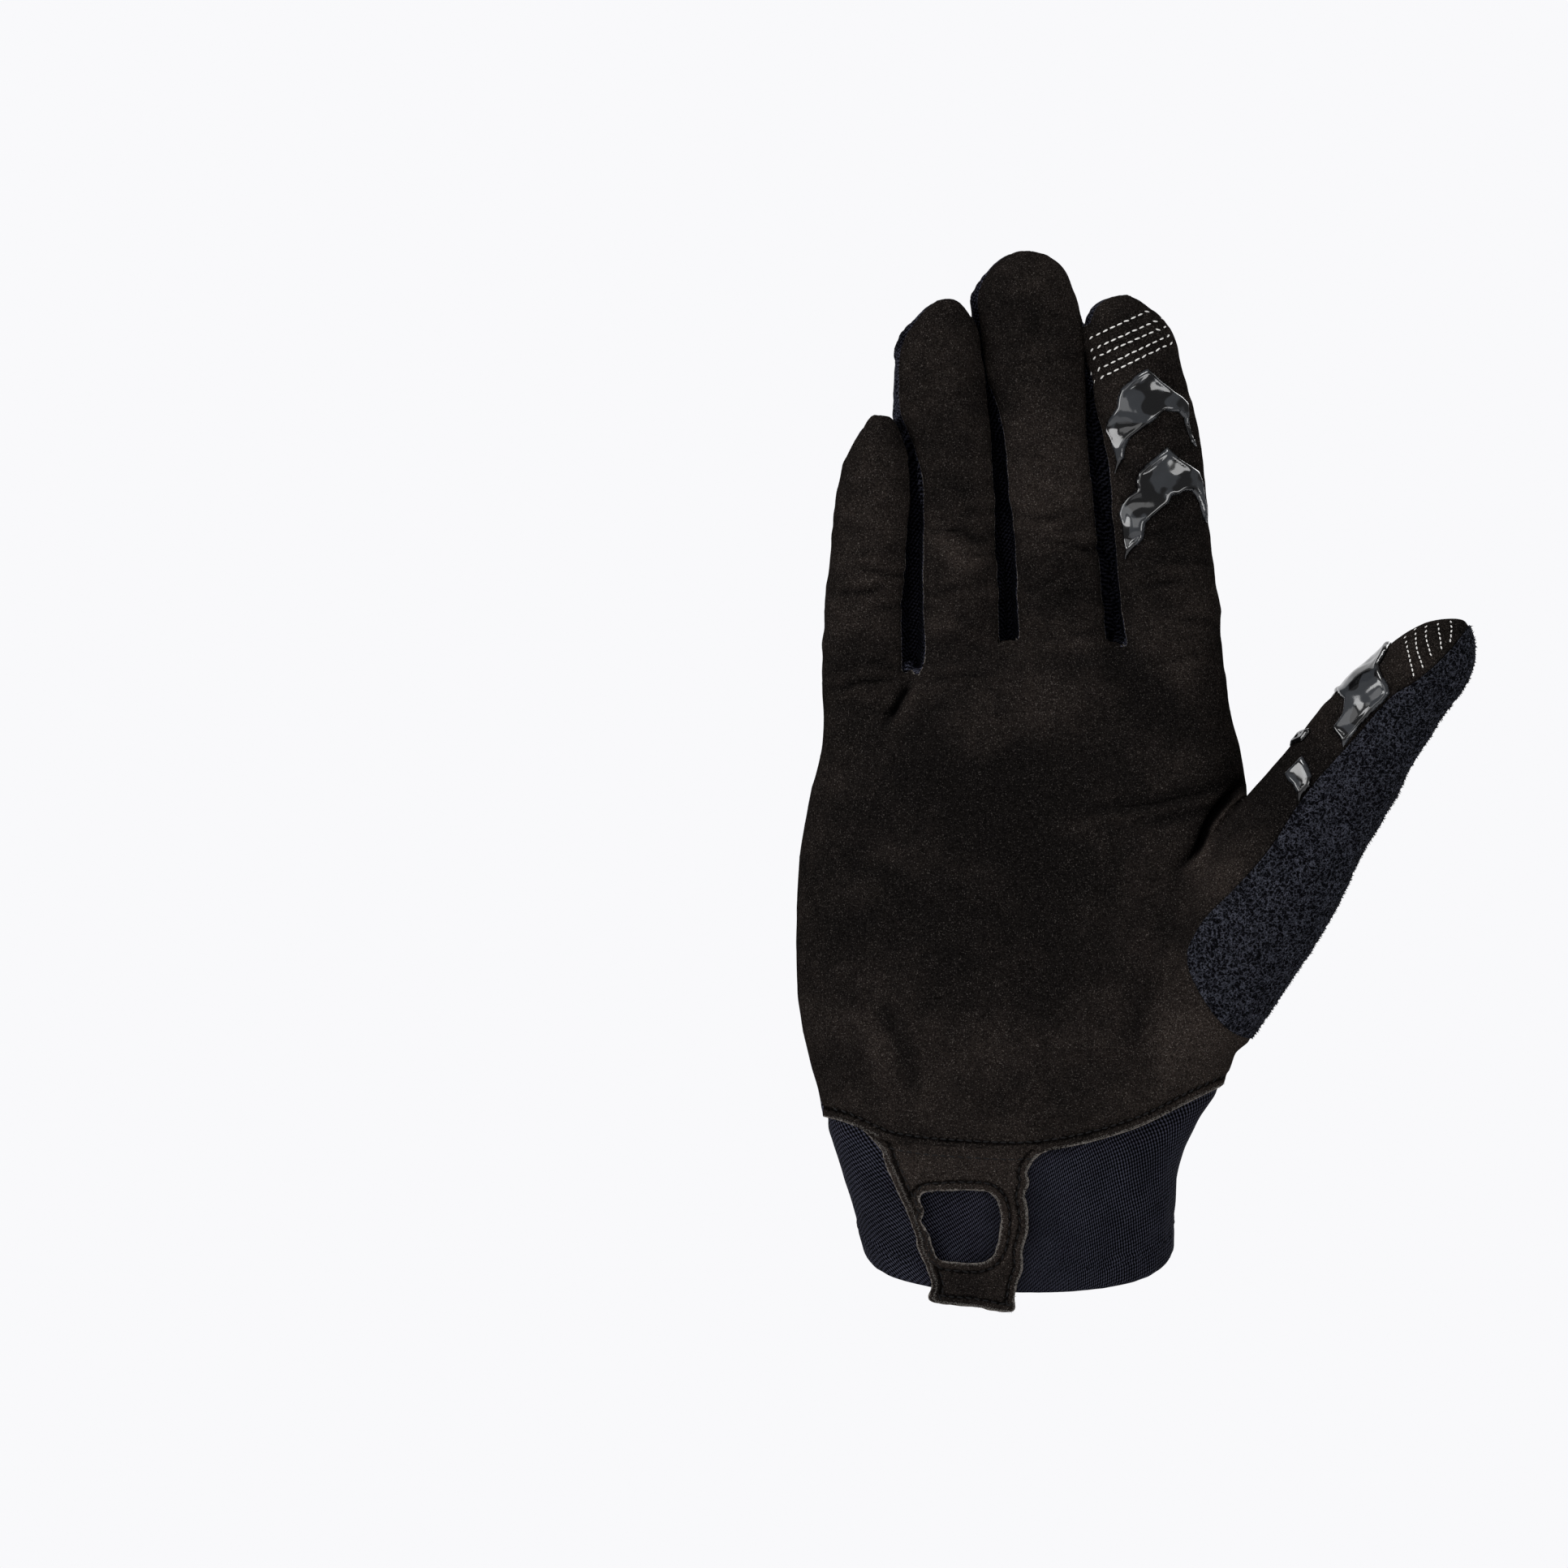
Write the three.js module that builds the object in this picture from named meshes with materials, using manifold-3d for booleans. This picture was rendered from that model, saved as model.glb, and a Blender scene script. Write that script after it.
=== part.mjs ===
// A long-finger cycling glove for the right hand, in the shape it has when it is worn.
// Millimetres. The origin is the centre of the cuff's opening. +Z runs up the fingers, +X towards the thumb,
// and the palm faces -Y. Every cloth piece is a thin wall round one open hollow for the hand.
import * as THREE from "three";
import { mergeVertices } from "three/addons/utils/BufferGeometryUtils.js";
import Module from "manifold-3d";

const wasm = await Module();
wasm.setup();

// Driving dimensions
const WALL = 1.4; // cloth and suede
const SEAM_GAP = 0.3; // between neighbouring panels, and under what lies on them
const TAB_THICKNESS = 1.3;
const GRIP_THICKNESS = 0.9;
const OUTSIDE = 90; // further out than any cloth, for the cutting shapes
const PAST = 4; // how far a cutting shape runs past what it cuts
const TIP_SHARE = 0.75; // how far the last ring of a tip is drawn in to its middle

const HAND = {
  height: 142, // cuff opening's centre to the top of the knuckle line
  littleSide: 53.2, // centre line to the widest point below the little finger
  indexSide: 52, // centre line to the widest point below the index finger
  depth: 37,
  forward: 12, // how far the palm stands in front of the cuff opening
  wristBend: 27, // degrees between the cuff's rim and level
  knuckleDrop: 17.6, // how far the knuckle line falls from its top to the hand's edge
  knuckleTop: 8, // where along X the knuckle line is highest
  hollow: 3.5, // depth of the cup of the palm
  hollowWidth: 0.4, // its half width, as a share of the index side
  square: 2.5, // 2 is a true oval, more is squarer
  sides: 26,
};

// A row for each section from the rim up. Columns: height as a share of the hand's, little and index side as shares
// of theirs, depth as a share of the hand's, forward, bend, knuckle arc and hollow as shares of the named sizes.
const HAND_SECTIONS = [
  { up: 0.0, little: 0.695, index: 0.673, deep: 1.27, forward: 0.0, bend: 1.0, arc: 0, cup: 0 },
  { up: 0.07, little: 0.75, index: 0.688, deep: 1.21, forward: 0.36, bend: 0.82, arc: 0, cup: 0 },
  { up: 0.14, little: 0.81, index: 0.704, deep: 1.14, forward: 0.63, bend: 0.6, arc: 0, cup: 0 },
  { up: 0.21, little: 0.865, index: 0.79, deep: 1.09, forward: 0.83, bend: 0.37, arc: 0, cup: 0 },
  { up: 0.295, little: 0.93, index: 0.94, deep: 1.05, forward: 0.95, bend: 0.15, arc: 0, cup: 0.1 },
  { up: 0.395, little: 0.985, index: 0.98, deep: 1.03, forward: 1.0, bend: 0, arc: 0, cup: 0.5 },
  { up: 0.505, little: 1.0, index: 0.99, deep: 1.0, forward: 1.0, bend: 0, arc: 0, cup: 0.9 },
  { up: 0.62, little: 0.99, index: 1.0, deep: 0.97, forward: 1.0, bend: 0, arc: 0, cup: 1.0 },
  { up: 0.73, little: 0.957, index: 1.01, deep: 0.92, forward: 1.0, bend: 0, arc: 0.1, cup: 0.7 },
  { up: 0.83, little: 0.918, index: 0.985, deep: 0.83, forward: 1.0, bend: 0, arc: 0.35, cup: 0.3 },
  { up: 0.915, little: 0.885, index: 0.945, deep: 0.71, forward: 1.0, bend: 0, arc: 0.7, cup: 0 },
  { up: 0.97, little: 0.86, index: 0.91, deep: 0.58, forward: 1.0, bend: 0, arc: 0.95, cup: 0 },
  { up: 1.0, little: 0.82, index: 0.87, deep: 0.42, forward: 1.0, bend: 0, arc: 1, cup: 0 },
];

const FINGER_SIDES = 14;
const FINGER_BURIED = 24; // how far every finger's lower end lies below the top of the knuckle line
const FINGER_ROOT = HAND.height - FINGER_BURIED;
const FINGER_GAP = 0.5; // between neighbouring fingers at their closest

// place: where the finger's root lies, as a share of the hand's little or index side; lean: how far its tip leans
// from there; front: how far it stands in front of the palm's middle; curl: how far the tip comes forward from there;
// roll: degrees that its pad is turned towards the thumb. Columns of sections: the share of the finger's length, then
// shares of its width, depth, lean and curl.
const FINGERS = {
  little: {
    place: -0.718, length: 76.4, width: 19, depth: 18, lean: 4.7, front: 1.6, curl: 9, roll: 8,
    sections: [
      { up: 0.0, wide: 0.94, deep: 0.9, lean: 0.0, curl: 0.0 },
      { up: 0.2, wide: 1.06, deep: 1.0, lean: 0.18, curl: 0.03 },
      { up: 0.44, wide: 1.0, deep: 1.0, lean: 0.33, curl: 0.12 },
      { up: 0.61, wide: 0.97, deep: 0.98, lean: 0.52, curl: 0.26 },
      { up: 0.77, wide: 0.89, deep: 0.93, lean: 0.64, curl: 0.46 },
      { up: 0.88, wide: 0.71, deep: 0.8, lean: 0.79, curl: 0.66 },
      { up: 0.955, wide: 0.43, deep: 0.52, lean: 1.0, curl: 0.85 },
    ],
  },
  ring: {
    place: -0.282, length: 104.3, width: 21, depth: 20, lean: -5, front: 0.4, curl: 8, roll: 10,
    sections: [
      { up: 0.0, wide: 1.08, deep: 1.0, lean: 0.0, curl: 0.0 },
      { up: 0.29, wide: 1.07, deep: 1.0, lean: 0.16, curl: 0.04 },
      { up: 0.5, wide: 1.01, deep: 1.0, lean: 0.22, curl: 0.14 },
      { up: 0.65, wide: 0.98, deep: 0.99, lean: 0.46, curl: 0.28 },
      { up: 0.79, wide: 1.0, deep: 0.96, lean: 0.98, curl: 0.5 },
      { up: 0.885, wide: 0.9, deep: 0.88, lean: 1.0, curl: 0.68 },
      { up: 0.935, wide: 0.75, deep: 0.76, lean: 0.84, curl: 0.8 },
      { up: 0.98, wide: 0.47, deep: 0.46, lean: 0.68, curl: 0.95 },
    ],
  },
  middle: {
    place: 0.179, length: 115.1, width: 23.5, depth: 21.5, lean: -9.4, front: -0.8, curl: 7, roll: 9,
    sections: [
      { up: 0.0, wide: 1.07, deep: 0.98, lean: 0.0, curl: 0.0 },
      { up: 0.265, wide: 1.05, deep: 0.98, lean: 0.13, curl: 0.03 },
      { up: 0.455, wide: 1.0, deep: 1.0, lean: 0.31, curl: 0.12 },
      { up: 0.585, wide: 1.0, deep: 1.0, lean: 0.47, curl: 0.23 },
      { up: 0.7, wide: 0.99, deep: 0.98, lean: 0.62, curl: 0.38 },
      { up: 0.84, wide: 1.02, deep: 0.93, lean: 0.84, curl: 0.58 },
      { up: 0.925, wide: 0.96, deep: 0.83, lean: 1.0, curl: 0.78 },
      { up: 0.98, wide: 0.68, deep: 0.54, lean: 0.97, curl: 0.95 },
    ],
  },
  index: {
    place: 0.727, length: 104.7, width: 24.6, depth: 21, lean: -15, front: 0.4, curl: 6, roll: 17,
    sections: [
      { up: 0.0, wide: 0.95, deep: 0.9, lean: 0.0, curl: 0.0 },
      { up: 0.29, wide: 1.035, deep: 0.98, lean: 0.3, curl: 0.03 },
      { up: 0.5, wide: 1.0, deep: 1.0, lean: 0.47, curl: 0.14 },
      { up: 0.645, wide: 0.99, deep: 1.0, lean: 0.56, curl: 0.28 },
      { up: 0.745, wide: 0.96, deep: 0.97, lean: 0.67, curl: 0.42 },
      { up: 0.835, wide: 0.88, deep: 0.92, lean: 0.79, curl: 0.58 },
      { up: 0.925, wide: 0.78, deep: 0.79, lean: 0.91, curl: 0.78 },
      { up: 0.98, wide: 0.56, deep: 0.5, lean: 1.0, curl: 0.95 },
    ],
  },
};

// The thumb runs from its root in the heel of the hand to its tip. Bow pushes it towards the index finger.
const THUMB = {
  root: new THREE.Vector3(0.65 * HAND.indexSide, -HAND.forward - 4, 0.33 * HAND.height),
  length: 120.8,
  splay: 34.8, // degrees from the fingers' direction
  forward: 18, // how far the tip stands in front of the root
  width: 27,
  depth: 25,
  bow: 4.2,
  pad: 20, // degrees that its pad is turned from the index finger towards the palm's side
  square: 2.2,
  sides: 16,
  sections: [
    { up: 0.0, wide: 0.82, deep: 0.85, bow: 0.0, forward: 0.0 },
    { up: 0.08, wide: 1.06, deep: 1.1, bow: 0.0, forward: 0.03 },
    { up: 0.17, wide: 1.16, deep: 1.26, bow: 0.1, forward: 0.1 },
    { up: 0.29, wide: 1.19, deep: 1.24, bow: 0.36, forward: 0.22 },
    { up: 0.41, wide: 1.19, deep: 1.14, bow: 0.64, forward: 0.36 },
    { up: 0.526, wide: 1.09, deep: 1.05, bow: 0.81, forward: 0.5 },
    { up: 0.635, wide: 0.99, deep: 1.0, bow: 0.81, forward: 0.62 },
    { up: 0.73, wide: 0.89, deep: 0.95, bow: 0.82, forward: 0.72 },
    { up: 0.82, wide: 0.8, deep: 0.88, bow: 0.62, forward: 0.82 },
    { up: 0.885, wide: 0.72, deep: 0.79, bow: 0.36, forward: 0.89 },
    { up: 0.94, wide: 0.57, deep: 0.63, bow: 0.15, forward: 0.95 },
    { up: 0.982, wide: 0.32, deep: 0.38, bow: 0.05, forward: 0.99 },
  ],
};

// Seams. Fourchette and side seam are shares of a finger's half depth, measured from its mid plane.
const SEAMS = {
  fourchette: 0.6,
  side: 0.25,
  taperStart: 0.86, // share of a finger's length where its fourchette starts to run out
  taperEnd: 0.98,
  binding: 0.7, // half the width that is left of it over the tip
  overreach: 1.2, // how far a cut beside a finger runs past its side
  footDrop: 13, // from the top of the knuckle line down to the fourchettes' feet, just below the webs
  web: new THREE.Vector3(1.03 * HAND.indexSide, -HAND.forward, 0.76 * HAND.height), // above the thumb's web
  webDrop: 11, // from there down to the web itself
  heel: new THREE.Vector3(0.765 * HAND.indexSide, -HAND.forward, 0.465 * HAND.height), // back of the thumb's root
  heelTop: 0.42, // end of the cut at the heel, as a share of the hand's height
};

// The line where palm and back are sewn to the cuff. Columns: place across and height, as shares of the sizes.
const CUFF_SEAM = { width: 0.85 * HAND.littleSide, height: 0.268 * HAND.height, points: 14 };
const CUFF_SEAM_LINE = [
  { across: -1.8, up: 0.85 },
  { across: -1.03, up: 0.8 },
  { across: -0.68, up: 0.65 },
  { across: -0.3, up: 0.6 },
  { across: 0.1, up: 0.6 },
  { across: 0.55, up: 0.73 },
  { across: 1.0, up: 0.98 },
  { across: 1.8, up: 1.35 },
];

// The terry panel's edge on the thumb, from the heel of the hand up to the thumb's tip. Columns: place along the
// thumb and across it, as shares of its length and half width; across grows away from the index finger.
const WIPE_POINTS = 18;
const WIPE_EDGE = [
  { along: 0.107, across: 1.03 },
  { along: 0.094, across: 0.63 },
  { along: 0.111, across: 0.06 },
  { along: 0.156, across: -0.5 },
  { along: 0.227, across: -0.59 },
  { along: 0.326, across: -0.42 },
  { along: 0.428, across: -0.3 },
  { along: 0.55, across: -0.32 },
  { along: 0.686, across: -0.22 },
  { along: 0.791, across: -0.17 },
  { along: 0.853, across: 0.02 },
  { along: 0.93, across: 0.12 },
  { along: 1.02, across: 0.3 },
];

// The pull tab on the cuff's palm side.
const TAB = {
  x: -11.2, // centre of its foot
  footWidth: 18.6,
  foot: -15.2, // height of its lower end
  slant: 1.6, // how much lower its foot is on the thumb side
  top: 0.592 * CUFF_SEAM.height,
  lean: 3.2, // its middle moves this far from foot to top, towards the little finger
  topWidth: 34,
  flare: 6.5, // reach of the curves that run into the palm's edge
  wideFlare: 10.4, // and on the little finger's side
  overlap: 5.2, // how far its top is laid past the palm's edge before it is trimmed to the seam
  window: { left: 2, z: 4.8, width: 16.6, height: 17, radius: 5.5 },
};

// A chevron of silicone: wings slope down from a peak, with one shoulder on each wing. Peak is the peak's place as a
// share of the finger's or thumb's length, span reaches from the peak to a wing's end, and shift is across the pad.
const CHEVRON = { rise: 0.9, shoulder: 0.42, step: 2.6, stepWidth: 0.8 };
const GRIPS = {
  index_grip_upper: { on: "index", peak: 0.833, shift: 0.6, span: 11, band: 10 },
  index_grip_lower: { on: "index", peak: 0.661, shift: 1.4, span: 11.4, band: 10.6 },
  thumb_grip_upper: { on: "thumb", peak: 0.865, shift: 0, span: 7.6, band: 13 },
  thumb_grip_lower: { on: "thumb", peak: 0.662, shift: 0, span: 6.6, band: 7 },
};

const rad = THREE.MathUtils.degToRad;
const X = new THREE.Vector3(1, 0, 0);
const Y = new THREE.Vector3(0, 1, 0);
const Z = new THREE.Vector3(0, 0, 1);

// Solids: a closed geometry becomes a solid that can be cut and joined, and back.
function solid(geometry) {
  const bare = geometry.clone();
  bare.deleteAttribute("normal");
  bare.deleteAttribute("uv");
  const merged = mergeVertices(bare, 1e-4);
  return new wasm.Manifold(
    new wasm.Mesh({
      numProp: 3,
      vertProperties: new Float32Array(merged.attributes.position.array),
      triVerts: new Uint32Array(merged.index.array),
    }),
  );
}

function geometryOf(made) {
  const mesh = made.getMesh();
  const positions = new Float32Array(mesh.numVert * 3);
  for (let i = 0; i < mesh.numVert; i++) {
    positions.set(mesh.vertProperties.subarray(i * mesh.numProp, i * mesh.numProp + 3), i * 3);
  }
  const geometry = new THREE.BufferGeometry();
  geometry.setAttribute("position", new THREE.BufferAttribute(positions, 3));
  geometry.setIndex(new THREE.BufferAttribute(new Uint32Array(mesh.triVerts), 1));
  const faceted = geometry.toNonIndexed();
  faceted.computeVertexNormals();
  return faceted;
}

const join = (solids) => solids.reduce((all, next) => all.add(next));

// Lofts: rings of equal point counts, joined by quads and closed at both ends.
function loft(rings) {
  const count = rings[0].length;
  const middle = (ring) => ring.reduce((sum, p) => sum.add(p), new THREE.Vector3()).divideScalar(count);
  const points = [...rings.flat(), middle(rings[0]), middle(rings.at(-1))];
  const foot = points.length - 2;
  const crown = points.length - 1;
  const faces = [];
  for (let j = 0; j < count; j++) {
    const next = (j + 1) % count;
    const top = (rings.length - 1) * count;
    faces.push(foot, next, j, crown, top + j, top + next);
    for (let i = 0; i + 1 < rings.length; i++) {
      const low = i * count;
      const high = low + count;
      faces.push(low + j, low + next, high + next, low + j, high + next, high + j);
    }
  }
  const geometry = new THREE.BufferGeometry().setFromPoints(points);
  geometry.setIndex(faces);
  return solid(geometry);
}

// One section: an oval with slightly squared sides, in the plane of the unit vectors across and through.
function ovalRing({ centre, across, through, left, right, depth, sides, square }) {
  const bulge = (s) => Math.sign(s) * Math.abs(s) ** (2 / square);
  return Array.from({ length: sides }, (_, k) => {
    const turn = (2 * Math.PI * (k + 0.5)) / sides;
    const c = Math.cos(turn);
    return centre
      .clone()
      .addScaledVector(across, bulge(c) * (c < 0 ? left : right))
      .addScaledVector(through, bulge(Math.sin(turn)) * depth);
  });
}

// A value from a table of sections at any share up, straight between rows and level past its ends.
function read(rows, key, value, column) {
  const clamped = THREE.MathUtils.clamp(value, rows[0][key], rows.at(-1)[key]);
  const i = Math.max(1, rows.findIndex((row) => row[key] >= clamped));
  const share = (clamped - rows[i - 1][key]) / (rows[i][key] - rows[i - 1][key]);
  return THREE.MathUtils.lerp(rows[i - 1][column], rows[i][column], share);
}

// The hand's outer skin from cuff to knuckles, grown by a distance; below reaches past the rim.
function handLoft(grow, below = 0) {
  const rings = HAND_SECTIONS.map((row) => {
    const bend = rad(HAND.wristBend * row.bend);
    const through = new THREE.Vector3(0, Math.cos(bend), Math.sin(bend));
    const drop = (p) => {
      const reach = (p.x - HAND.knuckleTop) / HAND.littleSide;
      p.z -= HAND.knuckleDrop * row.arc * reach ** 2;
      const cup = Math.exp(-(((p.x - HAND.knuckleTop) / (HAND.indexSide * HAND.hollowWidth)) ** 2));
      if (p.y < -HAND.forward * row.forward) p.y += HAND.hollow * row.cup * cup;
      return p;
    };
    const top = row.up === 1 ? grow : 0;
    return ovalRing({
      centre: new THREE.Vector3(0, -HAND.forward * row.forward, HAND.height * row.up + top),
      across: X,
      through,
      left: HAND.littleSide * row.little + grow,
      right: HAND.indexSide * row.index + grow,
      depth: (HAND.depth / 2) * row.deep + grow,
      sides: HAND.sides,
      square: HAND.square,
    }).map(drop);
  });
  if (below > 0) {
    const bend = rad(HAND.wristBend);
    const down = new THREE.Vector3(0, Math.sin(bend), -Math.cos(bend));
    rings.unshift(rings[0].map((p) => p.clone().addScaledVector(down, below)));
  }
  return loft(rings);
}

const rootX = (finger) => finger.place * (finger.place < 0 ? HAND.littleSide : HAND.indexSide);

// Where a finger is at some share of its length: centre, half sizes and its own directions.
function fingerAt(finger, up) {
  const at = (column) => read(finger.sections, "up", up, column);
  const roll = rad(finger.roll);
  return {
    centre: new THREE.Vector3(
      rootX(finger) + finger.lean * at("lean"),
      -HAND.forward - finger.front - finger.curl * at("curl"),
      FINGER_ROOT + finger.length * up,
    ),
    across: new THREE.Vector3(Math.cos(roll), Math.sin(roll), 0),
    through: new THREE.Vector3(-Math.sin(roll), Math.cos(roll), 0),
    halfWidth: (finger.width * at("wide") - FINGER_GAP) / 2,
    halfDepth: (finger.depth / 2) * at("deep"),
  };
}

function fingerLoft(finger, grow) {
  const rings = finger.sections.map((row) => {
    const f = fingerAt(finger, row.up);
    return ovalRing({
      centre: f.centre,
      across: f.across,
      through: f.through,
      left: f.halfWidth + grow,
      right: f.halfWidth + grow,
      depth: f.halfDepth + grow,
      sides: FINGER_SIDES,
      square: HAND.square,
    });
  });
  const crown = fingerAt(finger, 1);
  const cap = rings.at(-1).map((p) => p.clone().lerp(crown.centre, TIP_SHARE).setZ(crown.centre.z + grow));
  rings.at(-1).forEach((p) => (p.z += grow * finger.sections.at(-1).up));
  return loft([...rings, cap]);
}

// The thumb's own directions: along it, across it away from the index finger, and through it.
const thumbAlong = new THREE.Vector3(Math.sin(rad(THUMB.splay)), 0, Math.cos(rad(THUMB.splay)));
const thumbAcross = new THREE.Vector3(Math.cos(rad(THUMB.splay)), 0, -Math.sin(rad(THUMB.splay)));

const thumbPad = thumbAcross
  .clone()
  .multiplyScalar(-Math.cos(rad(THUMB.pad)))
  .addScaledVector(Y, -Math.sin(rad(THUMB.pad)));

function thumbAt(up) {
  const at = (column) => read(THUMB.sections, "up", up, column);
  return {
    centre: THUMB.root
      .clone()
      .addScaledVector(thumbAlong, THUMB.length * up)
      .addScaledVector(thumbAcross, -THUMB.bow * at("bow"))
      .addScaledVector(Y, -THUMB.forward * at("forward")),
    halfWidth: (THUMB.width / 2) * at("wide"),
    halfDepth: (THUMB.depth / 2) * at("deep"),
  };
}

function thumbLoft(grow) {
  const rings = THUMB.sections.map((row) => {
    const t = thumbAt(row.up);
    return ovalRing({
      centre: t.centre,
      across: thumbAcross,
      through: Y,
      left: t.halfWidth + grow,
      right: t.halfWidth + grow,
      depth: t.halfDepth + grow,
      sides: THUMB.sides,
      square: THUMB.square,
    });
  });
  const crown = thumbAt(1).centre.addScaledVector(thumbAlong, grow);
  rings.at(-1).forEach((p) => p.addScaledVector(thumbAlong, grow * TIP_SHARE));
  rings.push(rings.at(-1).map((p) => p.clone().lerp(crown, TIP_SHARE)));
  return loft(rings);
}

// Cutting shapes. A prism is an outline in the front view, carried straight through from front to back.
function prism(outline, front = -OUTSIDE, back = OUTSIDE) {
  const shape = outline instanceof THREE.Shape ? outline : new THREE.Shape(outline);
  const geometry = new THREE.ExtrudeGeometry(shape, { depth: back - front, bevelEnabled: false, curveSegments: 4 });
  geometry.applyMatrix4(new THREE.Matrix4().makeBasis(X, Z, Y.clone().negate()));
  geometry.translate(0, back, 0);
  return solid(geometry);
}

// An outline moved outwards by a distance, point by point. The outline runs anticlockwise.
function grownOutline(points, distance) {
  return points.map((p, i) => {
    const before = points.at(i - 1);
    const after = points[(i + 1) % points.length];
    const a = new THREE.Vector2().subVectors(p, before).normalize();
    const b = new THREE.Vector2().subVectors(after, p).normalize();
    const out = new THREE.Vector2(a.y + b.y, -a.x - b.x).normalize();
    return p.clone().addScaledVector(out, distance / Math.max(0.5, out.dot(new THREE.Vector2(a.y, -a.x))));
  });
}

// The part of the space above or below the cuff seam.
function besideCuffSeam(offset, above) {
  const line = new THREE.SplineCurve(
    CUFF_SEAM_LINE.map(
      (row) => new THREE.Vector2(CUFF_SEAM.width * row.across, CUFF_SEAM.height * row.up + offset),
    ),
  ).getPoints(CUFF_SEAM.points);
  const far = above ? 3 * OUTSIDE : -OUTSIDE;
  const side = 2 * OUTSIDE;
  const outline = [
    new THREE.Vector2(-side, line[0].y),
    ...line,
    new THREE.Vector2(side, line.at(-1).y),
    new THREE.Vector2(side, far),
    new THREE.Vector2(-side, far),
  ];
  return prism(above ? outline : outline.reverse());
}

function wipeOutline(grow) {
  const points = WIPE_EDGE.map((row) => {
    const p = THUMB.root
      .clone()
      .addScaledVector(thumbAlong, THUMB.length * row.along)
      .addScaledVector(thumbAcross, -THUMB.bow * read(THUMB.sections, "up", row.along, "bow"))
      .addScaledVector(thumbAcross, thumbAt(row.along).halfWidth * row.across);
    return new THREE.Vector2(p.x, p.z);
  });
  const outline = new THREE.SplineCurve(points).getPoints(WIPE_POINTS);
  const away = new THREE.Vector2(thumbAcross.x, thumbAcross.z).multiplyScalar(OUTSIDE / 2);
  const outer = [outline[0], outline.at(-1)].map((p) => p.clone().add(away));
  return grownOutline([outer[0], ...outline, outer[1]].reverse(), grow);
}

// A curtain is a flat-sided loft that follows two lines up the hand; each row of it is a four-sided ring.
function curtain(rows) {
  return loft(rows.map(({ z, from, to, before, after }) => [
    new THREE.Vector3(from.x, from.y - before, z),
    new THREE.Vector3(to.x, to.y - before, z),
    new THREE.Vector3(to.x, to.y + after, z),
    new THREE.Vector3(from.x, from.y + after, z),
  ]));
}

// How far a finger's fourchette reaches from the mid plane; it runs out to a narrow binding at the tip.
function fourchetteReach(finger, up) {
  const share = THREE.MathUtils.clamp((up - SEAMS.taperStart) / (SEAMS.taperEnd - SEAMS.taperStart), 0, 1);
  return THREE.MathUtils.lerp(fingerAt(finger, up).halfDepth * SEAMS.fourchette, SEAMS.binding, share ** 2);
}

// Heights at which a finger's cuts turn: its own sections, and past both ends.
function cutHeights(finger, foot) {
  const sections = finger.sections.map((row) => FINGER_ROOT + finger.length * row.up);
  return [foot, ...sections.filter((z) => z > foot + PAST), FINGER_ROOT + finger.length + PAST];
}

const shareAt = (finger, z) => THREE.MathUtils.clamp((z - FINGER_ROOT) / finger.length, 0, 1);

// The slab from a finger's middle out past one side, which holds that side of a fourchette.
function sideSlab(finger, side, grow) {
  const inset = SEAM_GAP / 2 - grow;
  return loft(
    cutHeights(finger, HAND.height - SEAMS.footDrop - grow).map((z) => {
      const f = fingerAt(finger, shareAt(finger, z));
      const reach = fourchetteReach(finger, shareAt(finger, z)) + grow;
      const edges = [inset, f.halfWidth + SEAMS.overreach].map((d) => f.across.clone().multiplyScalar(side * d));
      if (side < 0) edges.reverse();
      const corner = (edge, way) => f.centre.clone().add(edge).addScaledVector(f.through, way * reach).setZ(z);
      return [corner(edges[0], -1), corner(edges[1], -1), corner(edges[1], 1), corner(edges[0], 1)];
    }),
  );
}

const fourchetteSlab = (left, right, grow) => sideSlab(left, 1, grow).add(sideSlab(right, -1, grow));

// The thin cut where the palm meets the back without a fourchette between them, from a finger's middle to an edge.
function sideCut(finger, edge, lowest) {
  const half = SEAM_GAP / 2;
  const rows = cutHeights(finger, lowest).map((z) => {
    const share = shareAt(finger, z);
    const f = fingerAt(finger, share);
    const middle = f.centre.clone().addScaledVector(f.through, f.halfDepth * SEAMS.side * (1 - share ** 8));
    const outer = middle.clone().setX(edge);
    const [from, to] = edge > 0 ? [middle, outer] : [outer, middle];
    return { z, from, to, before: half, after: half };
  });
  return curtain(rows);
}

// The cut behind the thumb, along the valley between it and the back of the hand.
function thumbBackCut(web, heel) {
  const half = SEAM_GAP / 2;
  const rows = [heel, web].map((p) => ({
    z: p.z,
    from: new THREE.Vector3(p.x - half, p.y, p.z),
    to: new THREE.Vector3(p.x + half, p.y, p.z),
    before: 0,
    after: OUTSIDE,
  }));
  return curtain(rows);
}

// The cut at the heel of the hand, between the terry panel and the cuff seam.
function heelCut(low, high) {
  const y = -HAND.forward + (HAND.depth / 2) * SEAMS.side;
  const from = new THREE.Vector3(THUMB.root.x - PAST, y, 0);
  const to = new THREE.Vector3(OUTSIDE, y, 0);
  const half = SEAM_GAP / 2;
  return curtain([low, high].map((z) => ({ z, from, to, before: half, after: half })));
}

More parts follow.
